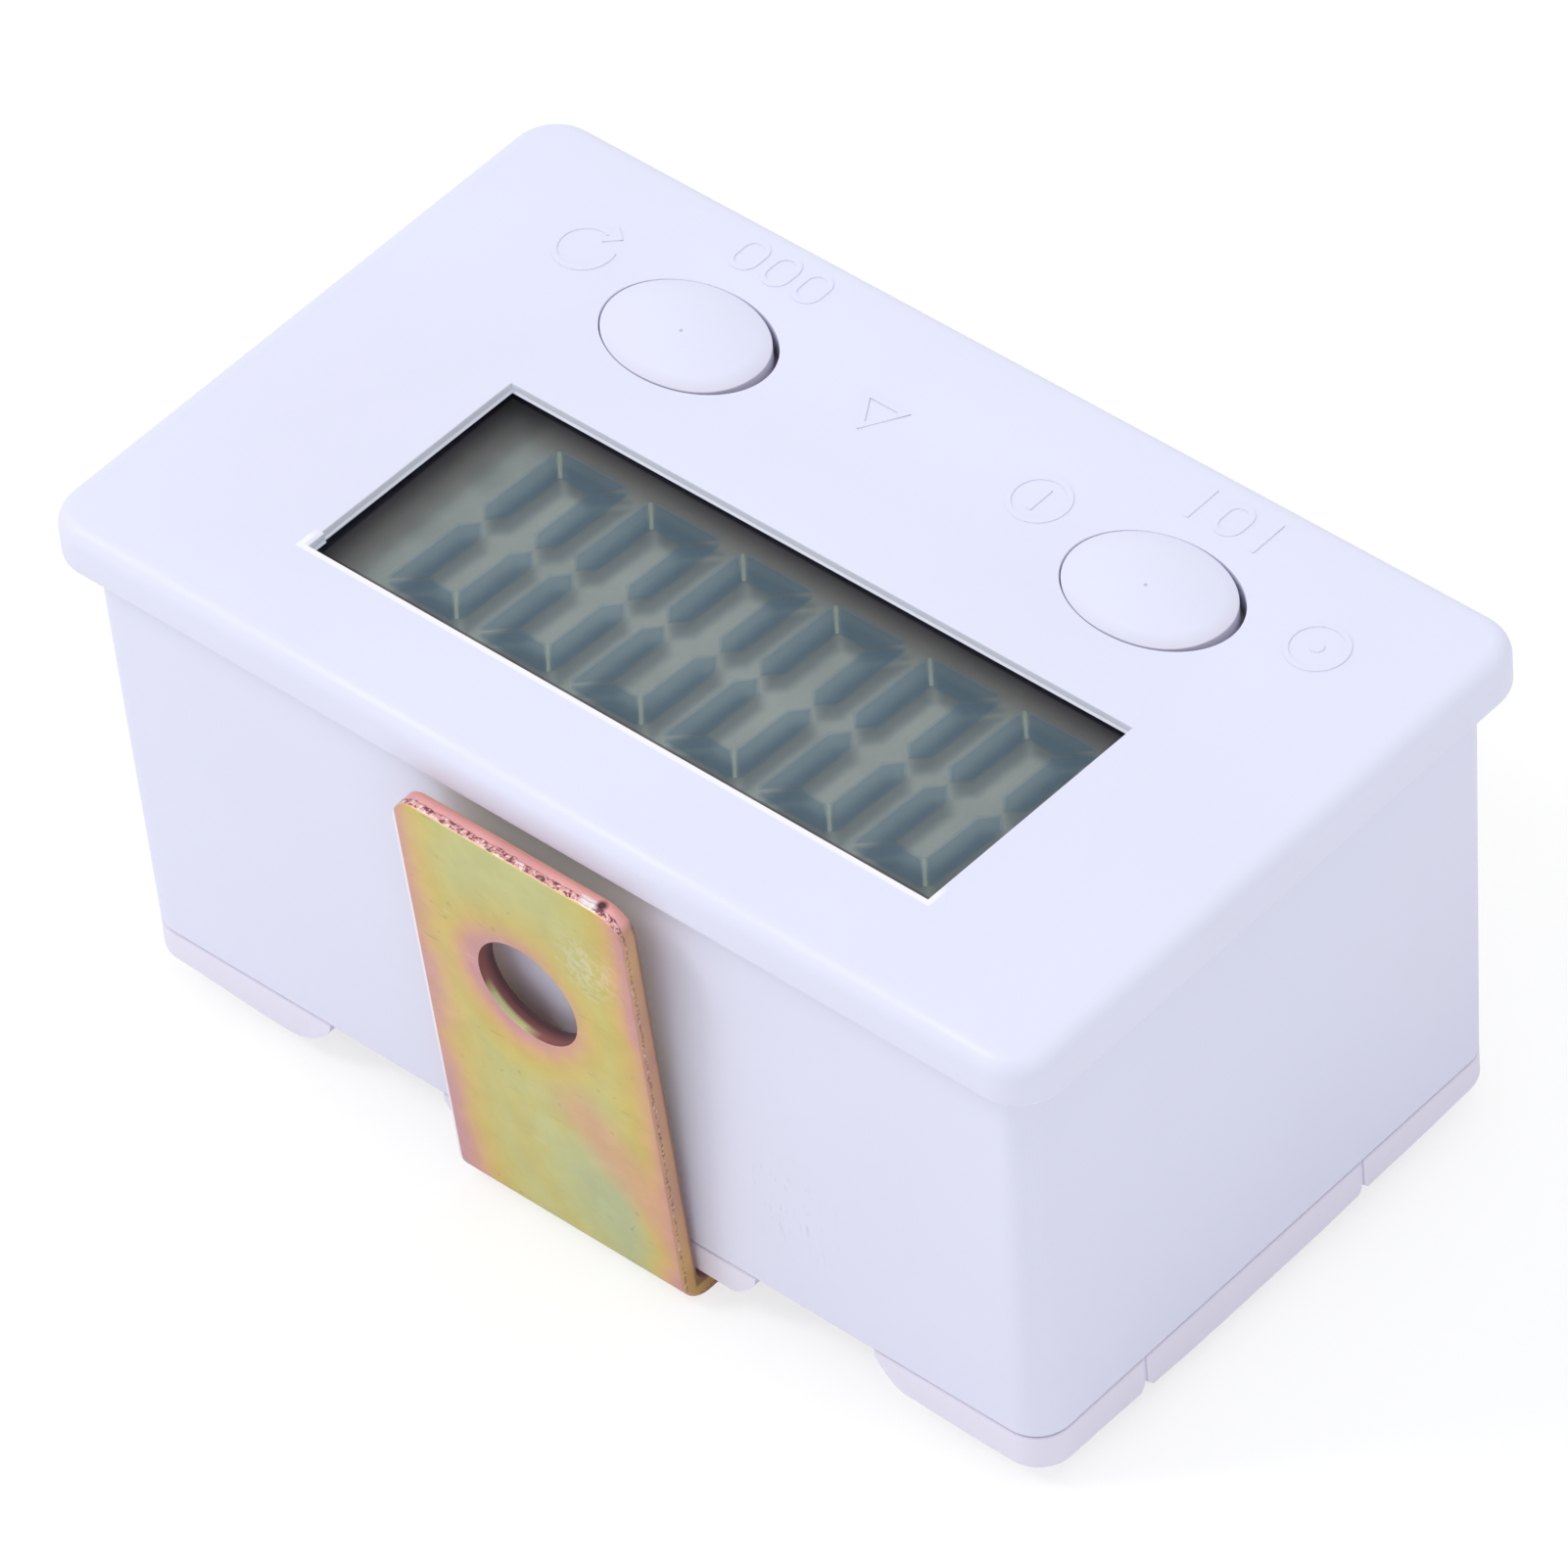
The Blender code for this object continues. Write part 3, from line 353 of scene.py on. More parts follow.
def makePlain(name, colour, roughness, grain=3000, variation=0.12, bump=0.15):
    # A moulding with grain, uneven colour and uneven gloss
    p = newPaint(name, colour, roughness)
    patch = p.noise(320, 3)
    darker, lighter = (tuple(min(1, channel * (1 + by)) for channel in colour) for by in (-variation, variation))
    return p.finish(p.ramp(patch, (0.3, darker), (0.7, lighter)),
                    p.span(patch, 0.3, 0.7, max(0.05, roughness - 0.07), roughness + 0.07),
                    (p.noise(grain), bump, 0.00003))


def makeBrushed(name, colour, roughness, axis):
    # Metal with fine draw lines along one axis
    p = newPaint(name, colour, roughness, 1.0)
    lines = p.noise(1, 3, vector=p.mapped([250 if index == axis else 6000 for index in range(3)]))
    darker = tuple(channel * 0.8 for channel in colour)
    return p.finish(p.ramp(lines, (0.3, darker), (0.65, colour)),
                    p.span(lines, 0.3, 0.7, roughness - 0.06, roughness + 0.1), (lines, 0.2, 0.00002))


zincFinish = {
    "edge": (0.63, 0.33, 0.36),
    "rose": (0.70, 0.37, 0.30),
    "amber": (0.73, 0.48, 0.21),
    "yellow": (0.67, 0.54, 0.15),
    "green": (0.62, 0.58, 0.22),
    "pale": (0.60, 0.60, 0.28),
    "slate": (0.52, 0.56, 0.33),
    "roughness": 0.42,
    "metallic": 0.5,
    **inMetres(patch=(3.8, 3.8), patchHalf=(7.5, 4.3)),      # a grey-green patch low on the ears: middle and axes
    "patchTurn": math.radians(-47),
}


def makeZincFace(half, holes, radius):
    look = zincFinish
    p = newPaint("yellowZincFace", look["yellow"], look["roughness"], look["metallic"])
    uv = p.add("UVMap", uv_map="flatStrap").outputs["UV"]
    # Distance over the flat strap, in metres as the UV map, to its long edges and holes
    nearest = p.minus(half, p.size(p.split(uv)[0]))
    for hole in holes:
        nearest = p.maths("SMOOTH_MIN", nearest, p.minus(p.distance(uv, (0, hole, 0)), radius), 0.8 * mm)
    cloud = p.noise(170, 3, 0.55, 0.6)
    shifted = p.plus(p.times(nearest, 1000), p.span(cloud, 0.25, 0.75, -0.55, 0.55),
                     p.span(p.noise(75, 1), 0.3, 0.7, -0.7, 0.7))
    tones = zip((0.0, 0.12, 0.24, 0.40, 0.64, 1.0), ("edge", "rose", "amber", "yellow", "green", "pale"))
    colour = p.ramp(p.span(shifted, -0.2, 5.2), *((at, look[tone]) for at, tone in tones), interpolation="B_SPLINE")
    x, y, z = p.split()
    offX, offZ = p.minus(x, look["patch"].x), p.minus(z, look["patch"].y)
    cos, sin = math.cos(look["patchTurn"]), math.sin(look["patchTurn"])
    along, across = (p.plus(p.times(offX, first), p.times(offZ, second)) for first, second in ((cos, sin), (-sin, cos)))
    parts = [p.maths("POWER", p.size(p.maths("DIVIDE", value, reach)), 2.0)
             for value, reach in zip((along, across), look["patchHalf"])]
    ring = p.plus(p.maths("SQRT", p.plus(*parts)), p.span(cloud, 0.25, 0.75, -0.22, 0.22))
    patch = p.ramp(ring, (0.35, look["slate"]), (0.8, look["pale"]), (1.0, look["yellow"]))
    colour = p.mix(p.times(p.span(ring, 0.7, 1.15, 1, 0), p.span(shifted, 1.4, 3.4)), colour, patch)
    glow = p.times(p.line(across, 3.7 * mm, 0.6 * mm, 1.8 * mm, 0.75), p.line(along, -3.0 * mm, 3 * mm, 2.5 * mm))
    colour = p.mix(glow, colour, (0.73, 0.40, 0.27))
    colour = p.tint(colour, p.ramp(p.noise(700, 3), (0.35, (0.93, 0.93, 0.93)), (0.65, (1, 1, 1))))
    for turnY, scale, tone, amount in ((0.5, 2600, (0.38, 0.33, 0.20), 0.45), (-0.7, 1900, (0.85, 0.80, 0.66), 0.12)):
        scratch = p.span(p.noise(1, 2, 0.6, vector=p.mapped((620, 620, scale), turnY)), 0.66, 0.76, 0, amount)
        colour = p.mix(scratch, colour, tone)
    colour = p.mix(p.span(p.noise(1500, 1), 0.74, 0.78, 0, 0.25), colour, (0.20, 0.17, 0.10))      # pits
    scuff = p.spot((4.6 * mm, strapLow.y, 22.0 * mm), 0.6 * mm, 1.8 * mm, 0.3)
    colour = p.mix(p.times(scuff, p.span(p.noise(2600, 2, 0.7), 0.46, 0.56)), colour, (0.88, 0.82, 0.76))
    # The -X edge catches the light in a thin line
    left = p.plus(p.split(uv)[0], half)
    colour = p.mix(p.span(left, 0.14 * mm, 0.18 * mm, 1, 0), colour, (0.95, 0.90, 0.96))
    sheen = p.span(cloud, 0.3, 0.7, look["roughness"] - 0.05, look["roughness"] + 0.1)
    return p.finish(colour, sheen, (p.noise(2400, 3, 0.6), 0.15, 0.00003))


def makeZincEdge(start, slope):
    # Cut edge: smooth rose, torn silvery and dark beside the rolled edge, brown down the sides and in the holes, where
    # the wall has painted shade deeper in and a painted highlight near the front
    s = strapShape
    p = newPaint("yellowZincEdge", zincFinish["edge"], 0.4, 0.6)
    x, y, z = p.split()
    ear = p.plus(p.minus(p.plus(p.times(z, slope), start), p.size(y)), s["thickness"] / 2)
    depth = p.maths("MINIMUM", ear, z)
    colour = p.ramp(p.noise(300), (0.3, (0.84, 0.40, 0.39)), (0.55, (0.92, 0.45, 0.43)), (0.75, (0.96, 0.53, 0.43)))
    colour = p.mix(p.span(depth, 0.84 * mm, 0.94 * mm, 0, 0.6), colour, (0.86, 0.46, 0.28))
    side = p.span(p.size(p.minus(x, s["offset"])), s["width"] / 2 - 0.35 * mm, s["width"] / 2 - 0.12 * mm)
    brown = p.ramp(p.noise(160), (0.35, (0.58, 0.32, 0.22)), (0.65, (0.70, 0.44, 0.17)))
    brown = p.mix(p.span(depth, 0.80 * mm, 0.92 * mm, 0, 0.7), brown, (0.22, 0.11, 0.10))
    colour = p.mix(side, colour, brown)
    flat = p.add("CombineXYZ", {0: x, 2: z}).outputs[0]
    hole = p.spot((s["offset"], 0, s["holeHeight"]), s["holeRadius"] + 0.4 * mm, 0.1 * mm, vector=flat)
    # In the holes the wall is darker deeper in: painted shade
    inner = p.mix(p.span(depth, 0.3 * mm, 0.8 * mm), (0.42, 0.17, 0.16), (0.14, 0.07, 0.07))
    colour = p.mix(hole, colour, inner)
    torn = p.noise(4200, 2, 0.7)
    level = p.plus(depth, p.span(p.noise(1700, 1), 0.3, 0.7, -0.06 * mm, 0.06 * mm))
    band = p.line(level, 0.27 * mm, p.times(p.span(side, 0, 1, 0.17, 0.06), mm), 0.04 * mm)
    front = p.times(band, p.span(hole, 0, 1, 1, 0), p.span(side, 0, 1, 1, 0.55))
    colour = p.mix(p.times(front, 0.35), colour, (0.45, 0.22, 0.20))
    for low, high, tone in ((0.56, 0.64, (0.88, 0.78, 0.80)), (0.49, 0.44, (0.14, 0.06, 0.07))):
        colour = p.mix(p.times(p.span(torn, low, high, 0, 0.9), front), colour, tone)
    tipY, tipZ = strapLow.y + 0.6 * mm, s["nearHeight"]
    bright = p.spot((s["offset"] + 4.9 * mm, tipY, tipZ), 0.4 * mm, 0.3 * mm, 0.8)
    colour = p.mix(p.times(bright, p.span(depth, 0.55 * mm, 0.7 * mm, 1, 0)), colour, (0.97, 0.92, 0.92))
    dark = p.spot((s["offset"] + 5.5 * mm, tipY, tipZ - 0.1 * mm), 0.18 * mm, 0.2 * mm)
    colour = p.mix(dark, colour, (0.12, 0.04, 0.05))
    # Painted highlight: a green-yellow patch on the front of the hole's wall, below and to the -X side of its middle
    holeHighlightSpot = (s["offset"] - 1.6 * mm, 0, s["holeHeight"] - 2.3 * mm)
    rim = p.times(p.spot(holeHighlightSpot, 1.0 * mm, 0.9 * mm, 0.9, flat), p.span(depth, 0.24 * mm, 0.42 * mm, 1, 0))
    colour = p.mix(rim, colour, (0.80, 0.86, 0.42))
    return p.finish(colour, None, (p.times(torn, front), 0.5, 0.00008))


def coverMarks(p, colour):
    # A warmer white than the case's, soiled along the joint
    colour = p.tint(colour, (1.05, 1.0, 0.97))
    return p.mix(p.line(p.split()[2], caseFoot, 0.1 * mm, 0.06 * mm, 0.25), colour, (0.42, 0.40, 0.48))


# Case: one moulding, from its bottom edge up to the rounded rim of the flange

caseShape = inMetres(flangeThickness=2.7, overhang=(1.8, 1.35), flangeCorner=2.5, flangeFillet=1.0, lowerEdge=0.35,
                     draft=(0.14, 0.14), cornerTop=1.1, cornerFoot=1.9, wall=(1.5, 1.5), faceWall=1.6,
                     windowWall=0.55, edgeRound=0.11)
windowShape = {
    **inMetres(low=(-18.42, -11.80), high=(19.45, 2.20), stepLength=1.1, stepWidth=0.15, round=0.06, wallOut=-0.12,
               ledgeIn=-0.20, ledge=0.13),         # a thin ledge stands in again at the wall's foot
    "turn": math.radians(0.9),           # the short edges lean a little
    "nearShare": 0.4,                    # the near and +X edges are sharper
}
buttonShape = inMetres(reset=(-13.7, 9.45), power=(14.5, 9.45), holeHalf=(4.75, 3.47), edgeRound=0.05)
insideShape = inMetres(bossRadius=1.7, boreRadius=1.0, boreTop=27.5, hookPitch=30, hookHalf=2, hookReach=0.9,
                       glassBorder=(1.7, 2.1), corner=0.6)
flangeHalf = Vector((caseHigh.x, caseHigh.y))
bodyHalf = flangeHalf - caseShape["overhang"]
footHalf = bodyHalf - caseShape["draft"]
cavityHalf = footHalf - caseShape["wall"]
flangeUnder = faceTop - caseShape["flangeThickness"]
faceUnder = faceTop - caseShape["faceWall"]
jackLow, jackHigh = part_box("input_jack_sleeve")
beyond = 1 * mm                          # how far a cut runs on past what it cuts


def makeCaseOutside():
    s = caseShape
    edge = s["edgeRound"]

    def flange(inset):
        return roundedRect(grown(flangeHalf, -inset), s["flangeCorner"] - inset)

    rings = [(roundedRect(grown(footHalf, -inset), s["cornerFoot"] - inset), caseFoot + rise)
             for inset, rise in rounding(edge, 5)]
    rings += [(roundedRect(bodyHalf, s["cornerTop"]), flangeUnder - edge),
              (roundedRect(grown(bodyHalf, edge), s["cornerTop"] + edge), flangeUnder)]
    rings += [(flange(inset), flangeUnder + rise) for inset, rise in rounding(s["lowerEdge"], 5)]
    rings += [(flange(inset), faceTop - drop) for drop, inset in rounding(s["flangeFillet"], 10)]
    return stack("caseMoulding", rings)


def windowOutline(grow):
    w = windowShape
    left, far = w["low"].x - grow, w["high"].y + grow
    right, near = w["high"].x + grow * w["nearShare"], w["low"].y - grow * w["nearShare"]
    lean = math.tan(w["turn"]) * (w["high"].y - w["low"].y) / 2
    stepX, stepY = left + w["stepWidth"], w["low"].y + w["stepLength"]
    leanAtStep = lean * (2 * (stepY - w["low"].y) / (w["high"].y - w["low"].y) - 1)
    return [(stepX - lean, near), (right - lean, near), (right + lean, far), (left + lean, far),
            (left + leanAtStep, stepY), (stepX + leanAtStep, stepY)]


def faceCutter(outline, edge, foot):
    # A cut through the face, from its lower rings up through a rounded edge
    rings = foot + [(outline(inset), faceTop - drop) for drop, inset in rounding(edge, 5)]
    return stack("faceCut", rings + [(outline(edge + 0.02 * mm), faceTop + 0.5 * mm)])


def windowCutter():
    w = windowShape
    bottom = faceTop - caseShape["windowWall"]
    inner = windowOutline(w["ledgeIn"])
    return faceCutter(lambda grow: windowOutline(w["wallOut"] + grow), w["round"], [
        (inner, bottom - 0.5 * mm), (inner, bottom + 0.02 * mm), (windowOutline(w["wallOut"]), bottom + w["ledge"])])


def buttonCutter(middle):
    b = buttonShape
    return faceCutter(lambda grow: ellipse(grown(b["holeHalf"], grow), middle), b["edgeRound"],
                      [(ellipse(b["holeHalf"], middle), faceUnder - beyond)])


def caseScuffsAndPaintedLight(p, colour):
    # Painted highlights along the window's near edge and the flange's lower edge, the window's walls painted lighter,
    # painted reflection and shade of the plating above and behind the near ear, a dark line at the joint, and scuffs on
    # the near wall
    w = windowShape
    x, y, z = p.split()
    middle, half = (w["low"] + w["high"]) / 2, (w["high"] - w["low"]) / 2
    offY = p.minus(y, middle.y)
    offX = p.minus(p.minus(x, middle.x), p.times(offY, math.tan(w["turn"])))
    out = p.maths("MAXIMUM", p.minus(p.size(offX), half.x), p.minus(p.size(offY), half.y))
    # Painted highlight: a light line on the face along the window's near edge
    rim = p.times(p.line(out, 0.10 * mm, 0.10 * mm, 0.12 * mm, 0.8),
                  p.span(z, faceTop - 0.26 * mm, faceTop - 0.10 * mm),
                  p.span(y, w["low"].y + 0.6 * mm, w["low"].y + 1.2 * mm, 1, 0))
    # Painted light: the window's walls are painted lighter than the face's white
    wall = p.times(p.line(out, -0.05 * mm, 0.2 * mm, 0.05 * mm), p.line(z, faceTop - 0.30 * mm, 0.24 * mm, 0.06 * mm))
    colour = p.mix(wall, colour, (0.86, 0.88, 1.0))
    # Painted highlight: a faint light line along the flange's lower edge, added to the window's
    flange = p.line(z, flangeUnder + 0.12 * mm, 0.10 * mm, 0.10 * mm, 0.2)
    colour = p.mix(p.maths("ADD", rim, flange, clamp=True), colour, (0.98, 0.98, 1.0))
    # Above and behind the near ear: painted reflection of the plating's colour on the wall, and painted reflection and
    # shade on the flange's side above the ear
    beside = p.line(x, (strapLow.x + strapHigh.x) / 2 + 0.3 * mm, 5.8 * mm, 3 * mm)
    bounceBehindEar = p.times(beside, p.span(z, 14 * mm, 25 * mm, 0, 0.12), p.line(y, -bodyHalf.y, 0.2 * mm, 0.2 * mm),
                     p.span(z, flangeUnder - 0.1 * mm, flangeUnder, 1, 0))
    colour = p.mix(bounceBehindEar, colour, (0.97, 0.66, 0.56))
    above = p.times(beside, p.span(z, flangeUnder + 0.1 * mm, flangeUnder + 1.7 * mm, 1, 0),
                    p.line(y, -flangeHalf.y, 0.3 * mm, 0.3 * mm, 0.4))
    colour = p.mix(above, colour, (0.50, 0.39, 0.46))
    colour = p.mix(p.line(z, caseFoot, 0.06 * mm, 0.06 * mm, 0.2), colour, (0.42, 0.40, 0.48))
    scratch = p.span(p.noise(1, 2, 0.6, vector=p.mapped((5200, 900, 900), 0.7)), 0.62, 0.72, 0, 0.35)
    where = p.spot((13.5 * mm, -bodyHalf.y, 10 * mm), 1.0 * mm, 3.0 * mm)
    return p.mix(p.times(scratch, where), colour, (0.52, 0.50, 0.58))


def makeCase():
    s, w = insideShape, windowShape
    case = makeCaseOutside()
    cavity = roundedRect(cavityHalf, s["corner"], 4)
    inside = stack("inside", [(cavity, caseFoot - beyond), (cavity, faceUnder)])
    pocket = blockPiece("pocket", (*(w["low"] - s["glassBorder"]), faceUnder - beyond),
                        (*(w["high"] + s["glassBorder"]), faceTop - caseShape["windowWall"]))
    carve(case, [inside, pocket])
    carve(case, [windowCutter(), buttonCutter(buttonShape["reset"]), buttonCutter(buttonShape["power"])])
    solids, bores = [], []
    for side in ("left", "middle", "right"):
        spot, bottom = middleOf(f"board_screw_{side}"), boardHigh.z + 0.3 * mm
        solids.append(post(s["bossRadius"], spot, bottom, faceUnder + 0.8 * mm))
        bores.append(post(s["boreRadius"], spot, bottom - beyond, s["boreTop"], steps=24))
    for side in (-1, 1):
        middle, top = side * s["hookPitch"] / 2, boardLow.z - 0.3 * mm
        solids.append(blockPiece("hook", (middle - s["hookHalf"], -cavityHalf.y - 0.7 * mm, top - 0.9 * mm),
                                 (middle + s["hookHalf"], -cavityHalf.y + s["hookReach"], top)))
    fuse(case, solids)
    jack = middleOf("input_jack_sleeve")
    bores.append(rod((jackHigh.x - jackLow.x) / 2 + 0.2 * mm, (jack.x, cavityHalf.y - beyond, jack.z),
                     (jack.x, bodyHalf.y + beyond, jack.z)))
    carve(case, bores)
    case.data.materials.clear()
    case.data.materials.append(makeWhitePlastic("caseWhite", marks=caseScuffsAndPaintedLight))
    smooth(case, 32)
    dress(case, "case", "white_plastic", "case_shell")


makeCase()
print("case made")


# Buttons: oval domes that stand a little above the face

capShape = {
    **inMetres(half=(4.48, 3.41), shift=(-0.17, 0), edgeRise=0.03, domeHeight=0.82, edgeRound=0.07, lip=0.5,
               lipThickness=0.7, speck=(0.26, -0.55)),
    "fullness": 0.028,
    "rings": 16,
}


def capOutline(half, middle):
    # An ellipse, a little fuller between +X and the near side
    points = []
    for x, y in ellipse(half, (0, 0)):
        full = 1 + capShape["fullness"] * (2 * x * y / (half[0] * half[1])) ** 2 if x > 0 > y else 1
        points.append((middle[0] + x * full, middle[1] + y * full))
    return points


def makeCap(name, body, node):
    c = capShape
    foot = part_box(node)[0].z
    middle = buttonShape[name] + c["shift"]
    edge, lipTop = faceTop + c["edgeRise"], foot + c["lipThickness"]
    lip = capOutline(grown(c["half"], c["lip"]), middle)
    rings = [(lip, foot), (lip, lipTop), (capOutline(c["half"], middle), lipTop + 0.001 * mm)]
    for drop, inset in rounding(c["edgeRound"], 4, 75):
        inner = grown(c["half"], -inset)
        rings.append((capOutline(inner, middle), edge - drop))
    for step in range(1, c["rings"]):
        share = 1 - step / c["rings"]
        rings.append((capOutline(inner * share, middle), edge + c["domeHeight"] * (1 - share ** 2)))

    def capShadeAndSpeck(p, colour):
        # Painted shade round the dome's foot, stronger towards +X and the near side, painted shade on the cap below the
        # face level in the hole, and one dark speck
        x, y, z = p.split()
        start = middle.x - middle.y
        turned = p.span(p.minus(x, y), start - 1 * mm, start + 4 * mm, 0.15, 1)
        domeFootShade = p.times(p.span(z, edge + 0.02 * mm, edge + 0.25 * mm, 0.32, 0), turned)
        colour = p.mix(domeFootShade, colour, (0.60, 0.54, 0.63))
        colour = p.mix(p.span(z, edge - 0.06 * mm, edge - 0.02 * mm, 0.6, 0), colour, (0.50, 0.47, 0.52))
        speck = p.spot((*(middle + c["speck"]), edge + c["domeHeight"]), 0.04 * mm, 0.09 * mm, 0.6)
        return p.mix(speck, colour, (0.30, 0.29, 0.32))

    cap = stack(f"{name}Cap", rings, makeWhitePlastic(f"{name}CapWhite", False, capShadeAndSpeck))
    smooth(cap, 40)
    dress(cap, body, "white_plastic", node)


makeCap("power", "power_key", "power_button")
makeCap("reset", "reset_key", "reset_button")
print("buttons made")


# Raised marks on the face: plain figures and generic signs, very low

markShape = inMetres(height=0.08, sink=0.02, stroke=0.28, ring=1.45, figure=(0.80, 1.12), figurePitch=(1.95, 0))


def placed(middle, points, scale=1):
    return [tuple(middle + scale * Vector((x * mm, y * mm))) for x, y in points]


def band(middle, start=0, end=360, steps=48):
    # Outlines of a ring, or of part of one
    radius, half = markShape["ring"], markShape["stroke"] / 2
    turns = [math.radians(start + (end - start) * step / steps) for step in range(steps + 1)]
    outer, inner = ([(middle[0] + (radius + by) * math.cos(turn), middle[1] + (radius + by) * math.sin(turn))
                     for turn in turns] for by in (half, -half))
    return [outer[:-1], inner[:-1]] if end - start == 360 else [outer + inner[::-1]]


def nought(middle):
    half = markShape["figure"]
    return [roundedRect(grown(half, -by), half.x - by, 6, middle) for by in (0, markShape["stroke"])]


def bar(middle, tall):
    half = markShape["stroke"] / 2, tall
    return [[(middle[0] + x * half[0], middle[1] + y * half[1]) for x, y in ((-1, -1), (1, -1), (1, 1), (-1, 1))]]


def makeMarks():
    m = markShape
    arrow, count, peak, power, code, dot = (Vector((x * mm, y * mm)) for x, y in (
        (-21.7, 11.1), (-13.2, 15.4), (-3.3, 10.9), (6.5, 10.9), (14.5, 15.2), (22.8, 11.1)))
    tip = arrow + m["ring"] * Vector((math.cos(math.radians(75)), math.sin(math.radians(75))))
    outlines = band(arrow, 75, 380) + [placed(tip, ((0.02, 0.62), (0.02, -0.62), (0.75, 0.05)))]
    for side in (-1, 0, 1):
        outlines += nought(count + side * m["figurePitch"])
    outlines += [placed(peak, ((-1.4, 0.75), (0, -1.5), (1.4, 0.75)), scale) for scale in (1, 0.62)]
    outlines += band(power) + bar(power, 0.8 * mm)
    outlines += bar(code - m["figurePitch"], m["figure"].y) + nought(code) + bar(code + m["figurePitch"], m["figure"].y)
    outlines += band(dot) + [ellipse((0.35 * mm, 0.35 * mm), dot, 24)]
    marks = filledSheet("faceMarks", outlines, m["height"], makeWhitePlastic("markWhite", False))
    marks.data.transform(Matrix.Translation((0, 0, faceTop + m["height"] / 2 - m["sink"])))
    dress(marks, "case", "white_plastic")


makeMarks()
print("face marks made")


# Display: rear film with the digits' shadows, dark digits above it, and the front glass

displayShape = {
    **inMetres(pitch=5.67, digitSize=(4.60, 11.5), stroke=1.40, cutCorner=0.30, firstMiddle=(15.59, -4.35),
               joint=0.13,                                             # half the gap between segments
               glassTop=-1.10, segmentLevel=-1.80, filmLevel=-2.46,    # below the face
               segmentThickness=0.02, filmThickness=0.03, filmLow=(-19.75, -13.3), filmHigh=(20.75, 3.9),
               rearNear=-12.0, rearFar=2.5, filmCell=0.13, shadowSoft=0.36, shadowShift=(0.34, -0.18)),
    "digits": 6,
    "slant": 0.05,
    "layers": ((0.06 * mm, 0), (-0.06 * mm, -0.03 * mm)),              # growth and height of each thin layer
}


def segmentOutlines(grow=0.0):
    # Outlines of the six lit segments of a nought, about its middle, with mitred corners
    d = displayShape
    (w, h), t, c, g = d["digitSize"] / 2, d["stroke"], d["cutCorner"], d["joint"] - grow
    shapes = []
    for side in (-1, 1):
        for half in (-1, 1):
            outer, inner, centre = side * (w + grow), side * (w - t - grow), side * (w - t / 2)
            shapes.append([(outer, half * (h - c - g)), (outer, half * (g + t / 2)), (centre, half * g),
                           (inner, half * (g + t / 2)), (inner, half * (h - t - g)),
                           (side * (w - c / 2), half * (h - c / 2 - g * 1.4))])
    for half in (-1, 1):
        outer, inner = half * (h + grow), half * (h - t - grow)
        shapes.append([(-(w - c - g), outer), (w - c - g, outer), (w - c / 2 - g * 1.4, half * (h - c / 2)),
                       (w - t - g, inner), (-(w - t - g), inner), (-(w - c / 2 - g * 1.4), half * (h - c / 2))])
    return shapes


def cornerGaps():
    # Narrow light strips in two of the mitres, where light comes through
    d = displayShape
    (w, h), t, c, half = d["digitSize"] / 2, d["stroke"], d["cutCorner"], d["joint"] * 0.7
    strips = []
    for side in (-1, 1):
        outer, inner = side * Vector((w - c / 2, c / 2 - h)), side * Vector((w - t, t - h))
        along = (inner - outer).normalized()
        width = Vector((-along.y, along.x)) * half
        end = inner + along * half
        strips.append([tuple(point) for point in (outer - width, end - width, end + width, outer + width)])
    return strips


def digitPiece(outlines, material):
    # One digit at the origin, to be repeated along the row
    d = displayShape
    shape = bmesh.new()
    for outline in outlines:
        face = shape.faces.new([shape.verts.new((x + d["slant"] * y, y, 0)) for x, y in outline])
        lifted = bmesh.ops.extrude_face_region(shape, geom=[face])
        top = [item for item in lifted["geom"] if isinstance(item, bmesh.types.BMVert)]
        bmesh.ops.translate(shape, verts=top, vec=(0, 0, d["segmentThickness"]))
    return fromBmesh("digit", shape, material)


def rowTree():
    # Repeats one object along a line
    tree = bpy.data.node_groups.new("repeatInRow", "GeometryNodeTree")
    for name, kind in (("Source", "Object"), ("Count", "Int"), ("Start", "Vector"), ("Step", "Vector"),
                       ("Finish", "Material")):
        tree.interface.new_socket(name=name, in_out="INPUT", socket_type="NodeSocket" + kind)
    tree.interface.new_socket(name="Geometry", in_out="OUTPUT", socket_type="NodeSocketGeometry")
    enter, leave, line, source, copies, real, paint = (tree.nodes.new(kind) for kind in (
        "NodeGroupInput", "NodeGroupOutput", "GeometryNodeMeshLine", "GeometryNodeObjectInfo",
        "GeometryNodeInstanceOnPoints", "GeometryNodeRealizeInstances", "GeometryNodeSetMaterial"))
    for before, output, after, socket in (
            (enter, "Count", line, "Count"), (enter, "Start", line, "Start Location"), (enter, "Step", line, "Offset"),
            (enter, "Source", source, "Object"), (line, "Mesh", copies, "Points"),
            (source, "Geometry", copies, "Instance"), (copies, "Instances", real, "Geometry"),
            (real, "Geometry", paint, "Geometry"), (enter, "Finish", paint, "Material"),
            (paint, "Geometry", leave, "Geometry")):
        tree.links.new(before.outputs[output], after.inputs[socket])
    return tree


rowNodes = rowTree()


def repeatInRow(name, source, count, start, step, material):
    holder = linked(name, bpy.data.meshes.new(name))
    row = holder.modifiers.new("row", "NODES")
    row.node_group = rowNodes
    wanted = {"Source": source, "Count": count, "Start": start, "Step": step, "Finish": material}
    for socket in rowNodes.interface.items_tree:
        if socket.in_out == "INPUT":
            row[socket.identifier] = wanted[socket.name]
    applied(holder)
    bpy.data.objects.remove(source, do_unlink=True)
    return holder


